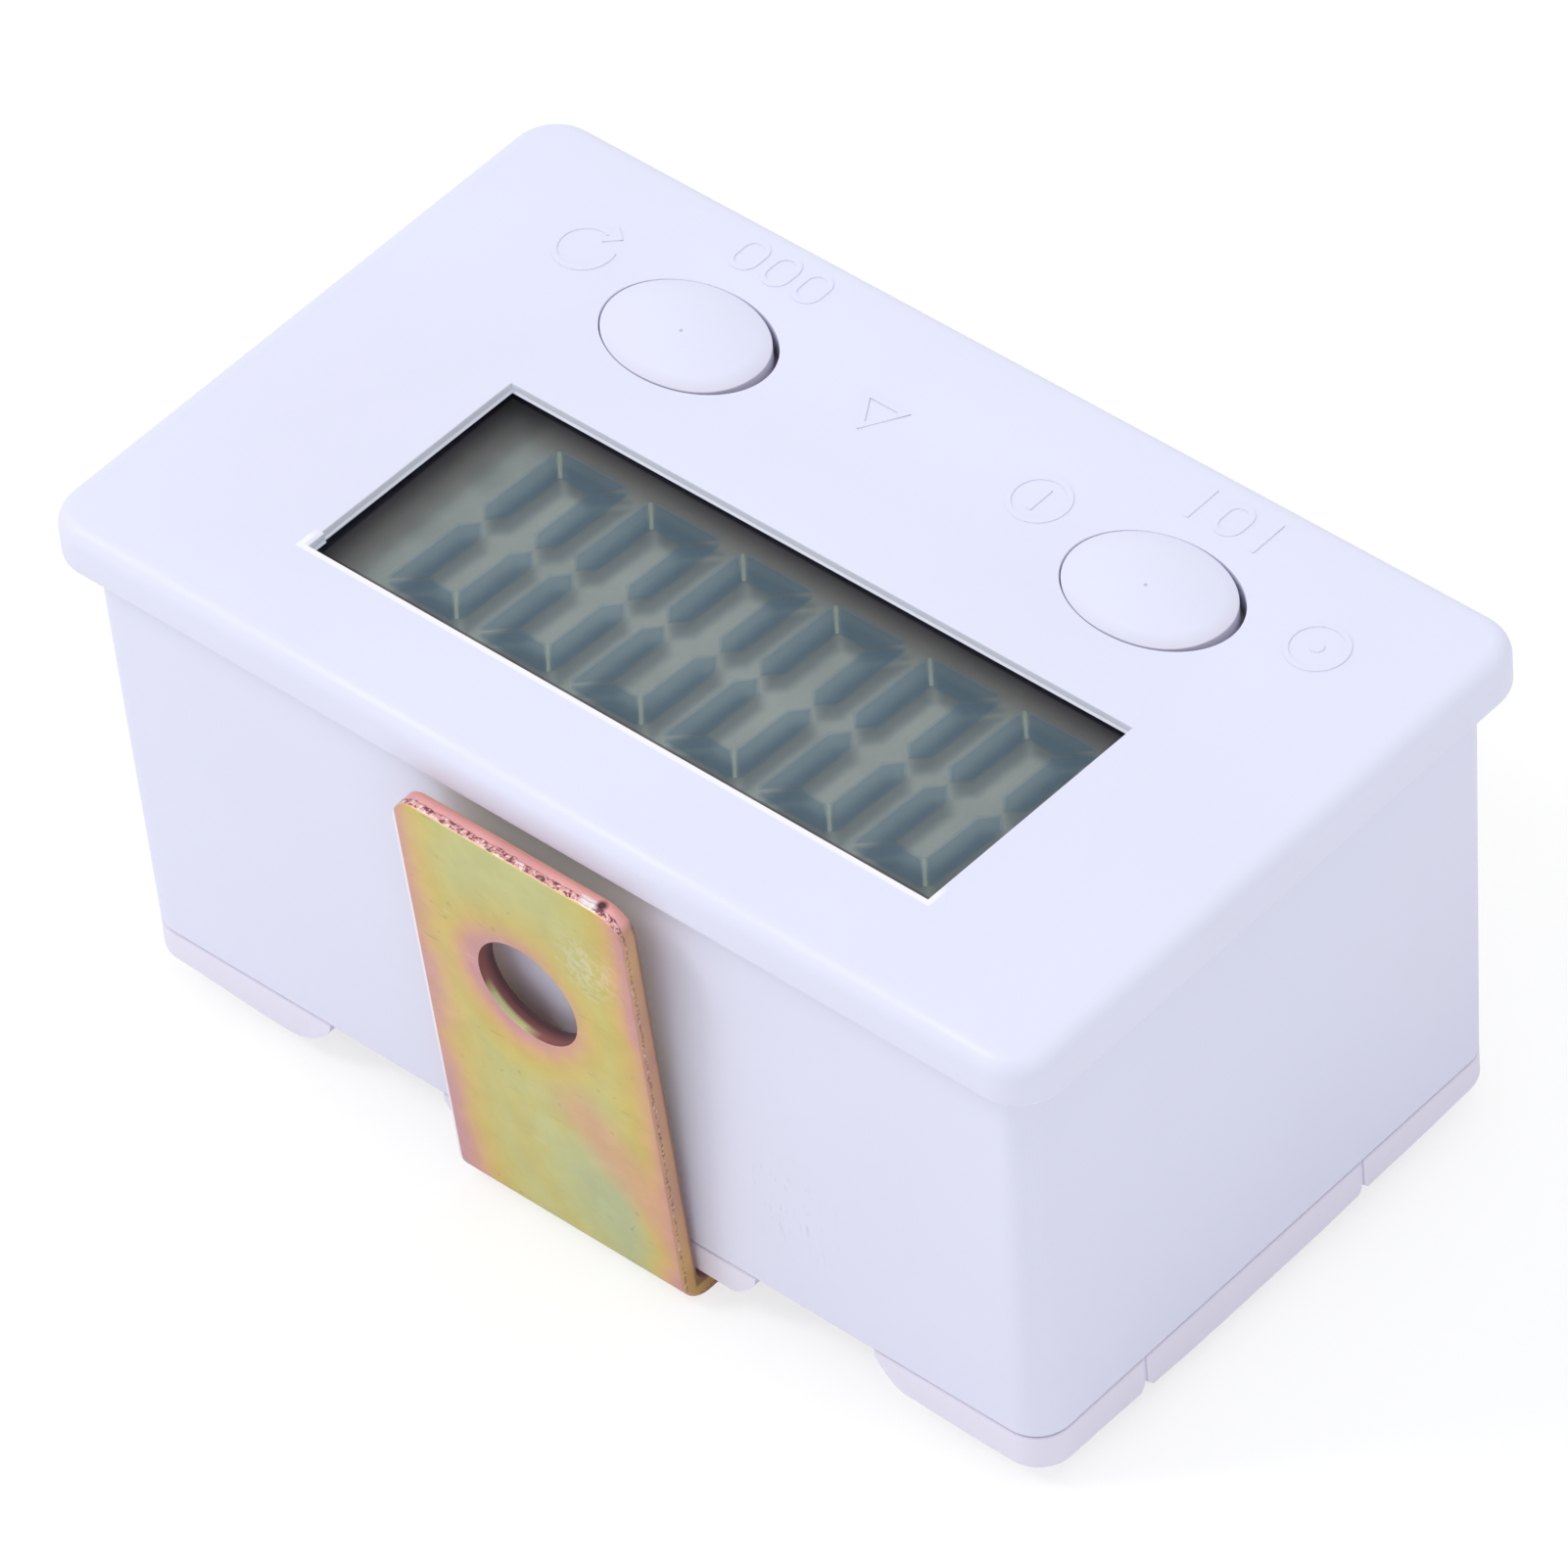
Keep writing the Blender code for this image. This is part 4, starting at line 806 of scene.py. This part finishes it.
def segmentDistance(point, outline):
    # Signed distance to a closed outline, below 0 inside
    inside, nearest = False, 1.0
    for index, (x1, y1) in enumerate(outline):
        x2, y2 = outline[index - 1]
        edge, off = Vector((x2 - x1, y2 - y1)), Vector((point[0] - x1, point[1] - y1))
        share = max(0.0, min(1.0, off.dot(edge) / max(edge.length_squared, 1e-12)))
        nearest = min(nearest, (off - share * edge).length)
        if (y1 > point[1]) != (y2 > point[1]) and point[0] < (x2 - x1) * (point[1] - y1) / (y2 - y1) + x1:
            inside = not inside
    return -nearest if inside else nearest


def easing(share):
    share = max(0.0, min(1.0, share))
    return share * share * (3 - 2 * share)


def makeFilm():
    # The shadow of each lit segment is kept as an attribute on the film's fine grid
    d = displayShape
    low, high = d["filmLow"], d["filmHigh"]
    size = high - low
    shape = bmesh.new()
    bmesh.ops.create_grid(shape, x_segments=round(size.x / d["filmCell"]), y_segments=round(size.y / d["filmCell"]),
                          size=0.5)
    shape.transform(Matrix.Translation((*((low + high) / 2), faceTop + d["filmLevel"]))
                    @ Matrix.Diagonal((size.x, size.y, 1, 1)))
    film = fromBmesh("lcdFilm", shape)
    outlines, values = segmentOutlines(), []
    reach = grown(d["digitSize"] / 2, 1 * mm)
    for vertex in film.data.vertices:
        spot = vertex.co.xy - d["shadowShift"]
        best = 1.0
        row = (d["firstMiddle"].x - spot.x) / d["pitch"]
        for index in {max(0, min(d["digits"] - 1, math.floor(row + extra))) for extra in (0, 0.5, 1)}:
            local = spot - d["firstMiddle"] + Vector((index * d["pitch"], 0))
            local.x -= d["slant"] * local.y
            if abs(local.x) < reach.x and abs(local.y) < reach.y:
                best = min(best, min(segmentDistance(local, outline) for outline in outlines))
        values.append(easing(0.5 - best / (2 * d["shadowSoft"])))
    film.data.attributes.new("digitShadow", "FLOAT", "POINT").data.foreach_set("value", values)
    return film


def makeFilmMaterial():
    d, w = displayShape, windowShape
    p = newPaint("lcdRearFilm", (0.33, 0.37, 0.32), 0.5)
    x, y, z = p.split()
    film = p.ramp(p.noise(260), (0.3, (0.250, 0.290, 0.283)), (0.7, (0.285, 0.330, 0.315)))
    colour = p.mix(p.span(x, 6 * mm, d["filmHigh"].x, 0, 0.06), film, (0.10, 0.13, 0.13))
    for spot in ((-16.8 * mm, -6.0 * mm), (-16.6 * mm, -1.5 * mm)):        # ghosts of unlit signs
        ghost = p.spot((*spot, faceTop + d["filmLevel"]), 0.4 * mm, 0.9 * mm, 0.2)
        colour = p.mix(ghost, colour, (0.10, 0.12, 0.13))
    shadow = p.add("Attribute", attribute_name="digitShadow").outputs["Fac"]
    colour = p.mix(p.times(shadow, 0.86), colour, (0.138, 0.170, 0.185))
    colour = p.tint(colour, p.ramp(p.noise(7000, 1), (0.3, (0.95, 0.95, 0.95)), (0.7, (1, 1, 1))))
    sight = 0.72 * (-d["filmLevel"] - caseShape["windowWall"]) + w["ledgeIn"]     # how far the view reaches in
    # Painted shade along the far and -X edges, where the face hangs over the film, fading to near black where the view
    # ends
    far = p.span(y, w["high"].y + sight - 2.6 * mm, w["high"].y + sight)
    side = p.span(x, w["low"].x - sight + 3.2 * mm, w["low"].x - sight)
    colour = p.tint(colour, p.ramp(
        p.maths("MAXIMUM", far, side), (0.0, (1, 1, 1)), (0.55, (0.74, 0.64, 0.64)), (0.90, (0.44, 0.35, 0.40)),
        (0.945, (0.08, 0.07, 0.15)), (1.0, (0.035, 0.032, 0.09))))
    # A thin dark line along the near edge: painted reflection of the window's near wall
    colour = p.mix(p.line(y, -9.98 * mm, 0.07 * mm, 0.06 * mm, 0.85), colour, (0.085, 0.068, 0.080))
    p.set("Specular IOR Level", 0.2)
    return p.finish(colour)


def makeClear(name, dark, light, cover, roughness=0.4):
    # Thin coloured film or glass that lets part of the light through
    p = newPaint(name, dark, roughness)
    p.set("Alpha", cover)
    return p.finish(p.ramp(p.noise(500), (0.3, dark), (0.7, light)), None, (p.noise(5000), 0.05, 0.00002))


def makeDisplay():
    d = displayShape
    film = makeFilm()
    film.data.materials.append(makeFilmMaterial())
    solid = film.modifiers.new("film", "SOLIDIFY")
    solid.thickness = d["filmThickness"]
    solid.offset = -1
    applied(film)
    dress(film, "case", "glass", "lcd_panel")
    start = Vector((*d["firstMiddle"], faceTop + d["segmentLevel"]))
    rows = [(f"lcdSegments{index + 1}", segmentOutlines(grow), lift,
             ((0.100, 0.260, 0.400), (0.120, 0.290, 0.440), 0.09)) for index, (grow, lift) in enumerate(d["layers"])]
    rows.append(("lcdCornerGaps", cornerGaps(), 0.03 * mm, ((0.29, 0.37, 0.33), (0.33, 0.42, 0.36), 0.36)))
    for name, outlines, lift, tones in rows:
        finish = makeClear(name, *tones)
        row = repeatInRow(name, digitPiece(outlines, finish), d["digits"], start + Vector((0, 0, lift)),
                          Vector((-d["pitch"], 0, 0)), finish)
        row.visible_shadow = False           # the film carries the digits' shadows
        dress(row, "case", "glass")
    frontLow = faceTop + d["segmentLevel"] + 0.25 * mm
    rearHigh = faceTop + d["filmLevel"] - d["filmThickness"] - 0.01 * mm
    for name, low, high, cover in (
            ("lcdFrontGlass", (*panelLow.xy, frontLow), (*panelHigh.xy, faceTop + d["glassTop"]), 0.015),
            ("lcdRearGlass", (panelLow.x, d["rearNear"], panelLow.z), (panelHigh.x, d["rearFar"], rearHigh), 0.5)):
        finish = makeClear(name, (0.78, 0.83, 0.85), (0.82, 0.86, 0.88), cover, 0.16)
        dress(blockPiece(name, low, high, 0.05 * mm, finish), "case", "glass")


makeDisplay()
print("display made")


# Strap: the flat blank is cut out, folded and given its edges

strapShape = {
    **inMetres(thickness=1.0, bend=0.9, nearHeight=26.6, farHeight=27.4, nearLean=1.65, farLean=1.6, holeRadius=3.0,
               holeHeight=17.5, edgeRound=0.09, rolledEdge=0.06, coverGap=0.3),
    "width": strapHigh.x - strapLow.x - 0.05 * mm,
    "offset": (strapHigh.x + strapLow.x) / 2,
    "corners": (3.8 * mm, 3.8 * mm, 1.5 * mm, 1.5 * mm),
    "bendSteps": 14,
}


def strapPath():
    # The folded sheet's middle line in Y and Z
    s = strapShape
    web = s["thickness"] / 2
    bend = s["bend"] + web
    earY = footHalf.y + s["coverGap"] + web
    runs = []
    for side, height, lean in ((-1, s["nearHeight"], s["nearLean"]), (1, s["farHeight"], s["farLean"])):
        tilt = math.atan2(lean, height - web - bend)
        centre = Vector((earY - bend, web + bend))
        turns = [(math.pi / 2 - tilt) * step / s["bendSteps"] for step in range(s["bendSteps"] + 1)]
        arc = [centre + bend * Vector((math.sin(turn), -math.cos(turn))) for turn in turns]
        rise = Vector((math.sin(tilt), math.cos(tilt)))
        tip = arc[-1] + (height - arc[-1].y) / rise.y * rise
        runs.append([Vector((side * point.x, point.y)) for point in arc + [tip]])
    return list(reversed(runs[0])) + runs[1]


def makeStrap():
    s = strapShape
    path = strapPath()
    marks = [0.0]
    for before, after in zip(path, path[1:]):
        marks.append(marks[-1] + (after - before).length)
    total, radius = marks[-1], s["holeRadius"]
    nearHole = (path[0].y - s["holeHeight"]) * marks[1] / (path[0].y - path[1].y)
    farHole = total - (path[-1].y - s["holeHeight"]) * (total - marks[-2]) / (path[-1].y - path[-2].y)
    holes = nearHole, farHole
    outlines = [roundedRect((s["width"] / 2, total / 2), s["corners"], 12, (0, total / 2))]
    outlines += [ellipse((radius, radius), (0, along), 72) for along in holes]
    strap = filledSheet("strapSheet", outlines, s["thickness"])
    shape = bmesh.new()
    shape.from_mesh(strap.data)
    for mark in marks[1:-1]:
        everything = shape.verts[:] + shape.edges[:] + shape.faces[:]
        bmesh.ops.bisect_plane(shape, geom=everything, plane_co=(0, mark, 0), plane_no=(0, 1, 0))
    shape.normal_update()
    for face in shape.faces:
        face.material_index = 0 if abs(face.normal.z) > 0.5 else 1

    def isOutside(vert):
        clear = min((vert.co.xy - Vector((0, hole))).length for hole in holes) > radius + 0.1 * mm
        return vert.co.z < 0 and clear

    rolled = [edge for edge in shape.edges if edge.calc_face_angle(0) > 1 and all(map(isOutside, edge.verts))]
    bmesh.ops.bevel(shape, geom=rolled, offset=s["rolledEdge"], segments=2, profile=0.5, affect="EDGES", material=0)
    flat = shape.loops.layers.uv.new("flatStrap")
    for face in shape.faces:
        for loop in face.loops:
            loop[flat].uv = loop.vert.co.xy
    tiny = 0.002 * mm
    for vert in shape.verts:
        across, along, lift = vert.co
        later = [index for index in range(1, len(marks) - 1) if along < marks[index] - tiny]
        run = later[0] if later else len(marks) - 1
        begin, end = path[run - 1], path[run]
        share = (along - marks[run - 1]) / (marks[run] - marks[run - 1])
        direction = (end - begin).normalized()
        inward = Vector((-direction.y, direction.x))
        if run > 1 and abs(along - marks[run - 1]) < tiny:
            previous = (path[run - 1] - path[run - 2]).normalized()
            other = Vector((-previous.y, previous.x))
            inward = (inward + other) / (1 + inward.dot(other))
        vert.co = (across + s["offset"], *(begin.lerp(end, share) + inward * lift))
    bmesh.ops.recalc_face_normals(shape, faces=shape.faces)
    shape.to_mesh(strap.data)
    shape.free()
    slope = (path[0].x - path[1].x) / (path[1].y - path[0].y)
    strap.data.materials.append(makeZincFace(s["width"] / 2, holes, radius))
    strap.data.materials.append(makeZincEdge(-path[0].x - slope * path[0].y, slope))
    sinks = []
    for node in ("strap_screw_near", "strap_screw_far"):
        low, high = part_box(node)
        mouth = (high.x - low.x) / 2 + 0.2 * mm + 1.2 / 1.3 * 1.1 * mm
        sinks.append(post(mouth, middleOf(node), -beyond, 1.4 * mm, tip=1.7 * mm))
    carve(strap, sinks)
    bevel = strap.modifiers.new("edges", "BEVEL")
    bevel.width = s["edgeRound"]
    bevel.segments = 2
    bevel.limit_method = "ANGLE"
    bevel.angle_limit = math.radians(50)
    applied(strap)
    smooth(strap, 30)
    dress(strap, "cover", "yellow_zinc", "mounting_bracket")


makeStrap()
print("strap made")


# Rear cover: plate and rim with notches, slots, spring arms and the battery's cradles

coverShape = {
    **inMetres(cornerFoot=1.9, bottomRound=0.32, lipHeight=1.8, lipWall=1.2, lipSink=0.9, notchDepth=2.0,
               slotDepth=1.4, grooveDepth=0.1, seam=0.06, division=1.5),
    # The rest is in millimetres. A flare is the height and the half-width added there: the feet beside are rounded
    "notches": ((-16.0, -8.8), (10.7, 17.9)),
    "slots": (-9.1, 6.5),
    "notchFlare": ((0.3, 3.8), (1.0, 3.5), (1.15, 2.9), (1.3, 2.3), (1.5, 1.75), (1.7, 1.3), (1.9, 1.0), (2.2, 0.66),
                   (2.6, 0.3), (3.0, 0.06), (3.36, 0)),
    "slotFlare": ((0.3, 1.3), (1.05, 0.8), (1.3, 0.42), (1.6, 0.2), (1.75, 0.04)),
    "grooveFlare": ((1.5, 0.12), (2.6, 0.11), (3.7, 0.09)),
    # The rim's bottom, measured round the cover: x, y and height
    "rim": ((28, 2, 1.03), (28, 9.8, 1.30), (28, 15, 1.50), (20, 16.3, 1.2), (0, 16.3, 1.5), (-20, 16.3, 1.1),
            (-28, 16, 1.4), (-28, 0, 1.05), (-26.5, -16.3, 1.42), (-19.5, -16.3, 1.05), (0, -16.3, 1.5),
            (19, -16.3, 1.35), (24.7, -16.3, 1.22), (28, -14, 1.2), (28, -5, 0.97)),
}
plateTop = caseFoot - coverShape["seam"]


def turnOf(x, y):
    return math.atan2(y / footHalf.y, x / footHalf.x) % (2 * math.pi)


def rimBottom(x, y):
    turn, full = turnOf(x, y), 2 * math.pi
    marks = sorted((turnOf(markX * mm, markY * mm), z * mm) for markX, markY, z in coverShape["rim"])
    marks = [(marks[-1][0] - full, marks[-1][1]), *marks, (marks[0][0] + full, marks[0][1])]
    for (before, low), (after, high) in zip(marks, marks[1:]):
        if before <= turn <= after:
            return low + (high - low) * easing((turn - before) / (after - before))


def flaredCut(middle, half, flare, near, far, alongX=True):
    # A cut through the rim whose ends flare and round outwards below
    rings = []
    for z, grow in flare:
        low, high = middle - half - grow * mm, middle + half + grow * mm
        outline = [(low, near), (high, near), (high, far), (low, far)]
        rings.append(([(x, y) if alongX else (y, x) for x, y in outline], min(z * mm, plateTop + 0.4 * mm)))
    return stack("cut", rings)


def makeCover():
    c = coverShape
    bottom, rounded = coverLow.z, c["bottomRound"]

    def ring(inset):
        return divided(roundedRect(grown(footHalf, -inset), c["cornerFoot"] - inset), c["division"])

    rings = [([(x * shareX, y * shareY) for x, y in ring(rounded)], z)
             for shareX, shareY, z in ((0.900, 0.86, bottom + 0.45 * mm), (0.915, 0.88, bottom))]
    rings += [(ring(inset), bottom + rise) for inset, rise in rounding(rounded, 6)]
    rings += [(ring(0), plateTop - c["seam"]), (ring(c["seam"]), plateTop)]
    cover = stack("rearCoverMoulding", rings)
    for vertex in cover.data.vertices:
        if vertex.co.z < bottom + rounded + 0.01 * mm:
            vertex.co.z += rimBottom(vertex.co.x, vertex.co.y) - bottom
    lipHalf = grown(cavityHalf, -0.3 * mm)
    lipEdges = [roundedRect(half, insideShape["corner"], 4) for half in (lipHalf, grown(lipHalf, -c["lipWall"]))]
    lip = filledSheet("lip", lipEdges, c["lipHeight"] + c["lipSink"])
    lip.data.transform(Matrix.Translation((0, 0, plateTop + (c["lipHeight"] - c["lipSink"]) / 2)))
    fuse(cover, [lip])
    cuts = []
    for side in (-1, 1):
        outer = side * (footHalf.y + beyond)
        for start, end in c["notches"]:
            cuts.append(flaredCut((start + end) / 2 * mm, (end - start) / 2 * mm, c["notchFlare"], outer,
                                  side * (footHalf.y - c["notchDepth"])))
        outer = side * (footHalf.x + beyond)
        for middle in c["slots"]:
            for flare, depth in ((c["slotFlare"], c["slotDepth"]), (c["grooveFlare"], c["grooveDepth"])):
                cuts.append(flaredCut(middle * mm, 0, flare, outer, side * (footHalf.x - depth), False))
    carve(cover, cuts)
    solids = []
    armLow, armHigh = plateTop - c["lipSink"], coverHigh.z
    for side in (-1, 1):
        for reach, low, high, swapped in ((lipHalf.y, -3.05 * mm, 4.95 * mm, False),
                                          (lipHalf.x, -5.3 * mm, 2.7 * mm, True)):
            for out, foot, top, edge in ((0, armLow, armHigh, 0.12 * mm),
                                         (0.2 * mm, armHigh - 2.1 * mm, armHigh - 1.0 * mm, 0.15 * mm)):
                ends = sorted((side * (reach + out), side * (reach - 1.1 * mm)))
                corners = [(end, along, z) if swapped else (along, end, z)
                           for end, along, z in ((ends[0], low, foot), (ends[1], high, top))]
                solids.append(blockPiece("arm", *corners, edge))
    cell = (cellLow + cellHigh) / 2
    for side in (-1, 1):
        solids.append(blockPiece("cradle", (side * 11 * mm - 0.6 * mm, cell.y - 4 * mm, armLow),
                                 (side * 11 * mm + 0.6 * mm, cell.y + 4 * mm, cell.z - 2.625 * mm)))
    cuts = [rod((cellHigh.z - cellLow.z) / 2 + 0.3 * mm, (-20 * mm, cell.y, cell.z), (20 * mm, cell.y, cell.z),
                steps=64)]
    for node in ("threaded_insert_near", "threaded_insert_far"):
        spot, top = middleOf(node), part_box(node)[1].z
        solids.append(post(3.6 * mm, spot, armLow, top + 0.3 * mm))
        cuts.append(post(2.6 * mm, spot, plateTop, top + beyond))
        cuts.append(post(1.7 * mm, spot, bottom - beyond, plateTop + 0.5 * mm))
    fuse(cover, solids)
    carve(cover, cuts)
    cover.data.materials.clear()
    cover.data.materials.append(makeWhitePlastic("coverWhite", marks=coverMarks))
    smooth(cover, 32)
    dress(cover, "cover", "white_plastic", "rear_cover")


makeCover()
print("rear cover made")


# The rest keeps its CAD shape and gets its finish

def makeBoard():
    # Solder mask over copper tracks, with bare pads
    p = newPaint("boardMask", (0.03, 0.15, 0.06), 0.35)
    brick = p.add("TexBrick", {"Scale": 260, "Mortar Size": 0.06, "Vector": p.place}, offset=0.37, squash=0.6)
    track = brick.outputs["Fac"]
    return p.finish(p.mix(track, (0.025, 0.115, 0.05), (0.05, 0.21, 0.09)), None, (track, 0.3, 0.00003))


def makeZebra():
    p = newPaint("zebraRubber", (0.1, 0.1, 0.1), 0.7)
    wave = p.add("TexWave", {"Scale": 900, "Vector": p.place}, bands_direction="X").outputs["Fac"]
    return p.finish(p.ramp(wave, (0.45, (0.35, 0.33, 0.33)), (0.55, (0.02, 0.02, 0.02))))


def makeBattery():
    # A dark sleeve with a copper-coloured band, and bare ends
    p = newPaint("batterySleeve", (0.02, 0.03, 0.06), 0.25)
    along = p.split()[0]
    band = p.maths("GREATER_THAN", along, cellHigh.x - 12 * mm)
    ends = p.maths("GREATER_THAN", p.size(along), 22.1 * mm)
    p.set("Metallic", ends)
    colour = p.mix(ends, p.mix(band, (0.018, 0.022, 0.035), (0.55, 0.33, 0.10)), (0.55, 0.55, 0.55))
    return p.finish(colour, None, (p.noise(900), 0.1, 0.00003))


for finish, names in (
        (makePlain("blackMoulding", (0.028, 0.028, 0.030), 0.48), "display_holder battery_tray input_jack_body"),
        (makePlain("switchBlack", (0.020, 0.020, 0.022), 0.35), "power_switch_base reset_switch_base capacitor"),
        (makePlain("plungerGrey", (0.10, 0.10, 0.11), 0.4), "power_plunger reset_plunger"),
        (makePlain("pottingResin", (0.016, 0.015, 0.016), 0.22, 900, 0.3, 0.3), "controller_blob"),
        (makeBrushed("brightSteel", (0.62, 0.62, 0.63), 0.28, 2),
         "crystal strap_screw_near strap_screw_far board_screw_left board_screw_middle board_screw_right"),
        (makeBrushed("nickelPlate", (0.66, 0.64, 0.60), 0.24, 1),
         "battery_plus_contact battery_minus_contact input_jack_sleeve"),
        (makeBrushed("turnedBrass", (0.72, 0.55, 0.26), 0.28, 2),
         "input_jack_contact threaded_insert_near threaded_insert_far"),
        (makeBoard(), "main_board"), (makeBattery(), "battery_cell"),
        (makeZebra(), "zebra_strip_near zebra_strip_far")):
    for name in names.split():
        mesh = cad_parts[name].data
        mesh.materials.clear()
        mesh.materials.append(finish)
print("inner pieces finished")


# Studio: pale floor, soft lamps and the photograph's view

studio = {
    "floorSize": 3.0,
    "floorPaint": (0.95, 0.95, 0.95),
    "floorSeen": (0.93, 0.93, 0.94),
    "floorGlow": 0.20,
    "floorCover": 0.38,                  # the camera sees through the floor in part, so a cover let down shows too
    "worldStrength": 0.74,
    "lamps": (("keyLamp", (-0.72, -0.70, 1.22), 0.40, 5.9), ("fillLamp", (0.25, 0.1, 1.3), 1.0, 1.8)),
}
view = {
    "place": Vector((290.6158 * mm, -291.9921 * mm, 390.1405 * mm + faceTop)),
    "right": Vector((0.75052849, 0.65753324, -0.06600776)),
    "down": Vector((0.42684144, -0.55860251, -0.71117482)),
    "forward": Vector((-0.50449318, 0.50558212, -0.69990953)),
    "lens": 285.785,
    "sensor": 36,
}


def makeStudio():
    s = studio
    p = Paint(bpy.data.materials.new("paleFloor"))
    sheet = bmesh.new()
    bmesh.ops.create_grid(sheet, x_segments=1, y_segments=1, size=s["floorSize"])
    sheet.transform(Matrix.Translation((0, 0, -0.02 * mm)))
    floor = fromBmesh("floor", sheet, p.owner)
    floor.visible_shadow = False
    seen = p.add("LightPath").outputs["Is Camera Ray"]
    for socket, value in (("Base Color", p.mix(seen, s["floorPaint"], s["floorSeen"])), ("Roughness", 0.9),
                          ("Specular IOR Level", 0.1), ("Emission Color", (1, 1, 1)),
                          ("Emission Strength", p.times(seen, s["floorGlow"])),
                          ("Alpha", p.span(seen, 0, 1, 1, s["floorCover"]))):
        p.set(socket, value)
    p = Paint(bpy.data.worlds.new("studioWorld"), "Background")
    bpy.context.scene.world = p.owner
    p.set("Color", (1, 1, 1))
    camera, glossy, through = (p.add("LightPath").outputs[f"Is {kind} Ray"]
                               for kind in ("Camera", "Glossy", "Transmission"))
    seen = p.maths("ADD", p.plus(camera, glossy), through, clamp=True)
    p.set("Strength", p.span(seen, 0, 1, s["worldStrength"], 1.0))
    for name, place, size, power in s["lamps"]:
        lamp = bpy.data.lights.new(name, "AREA")
        lamp.shape = "SQUARE"
        lamp.size, lamp.energy = size, power
        holder = linked(name, lamp)
        holder.location = place
        holder.rotation_euler = (-Vector(place)).to_track_quat("-Z", "Y").to_euler()


def makeCamera():
    v = view
    data = bpy.data.cameras.new("photoView")
    data.lens, data.sensor_width = v["lens"], v["sensor"]
    data.clip_start, data.clip_end = 0.01, 50
    camera = linked("photoView", data)
    turn = Matrix((v["right"], -v["down"], -v["forward"])).transposed().to_4x4()
    camera.matrix_world = Matrix.Translation(v["place"]) @ turn
    bpy.context.scene.camera = camera


makeStudio()
makeCamera()
bpy.context.scene.view_settings.view_transform = "Standard"
print("studio made")
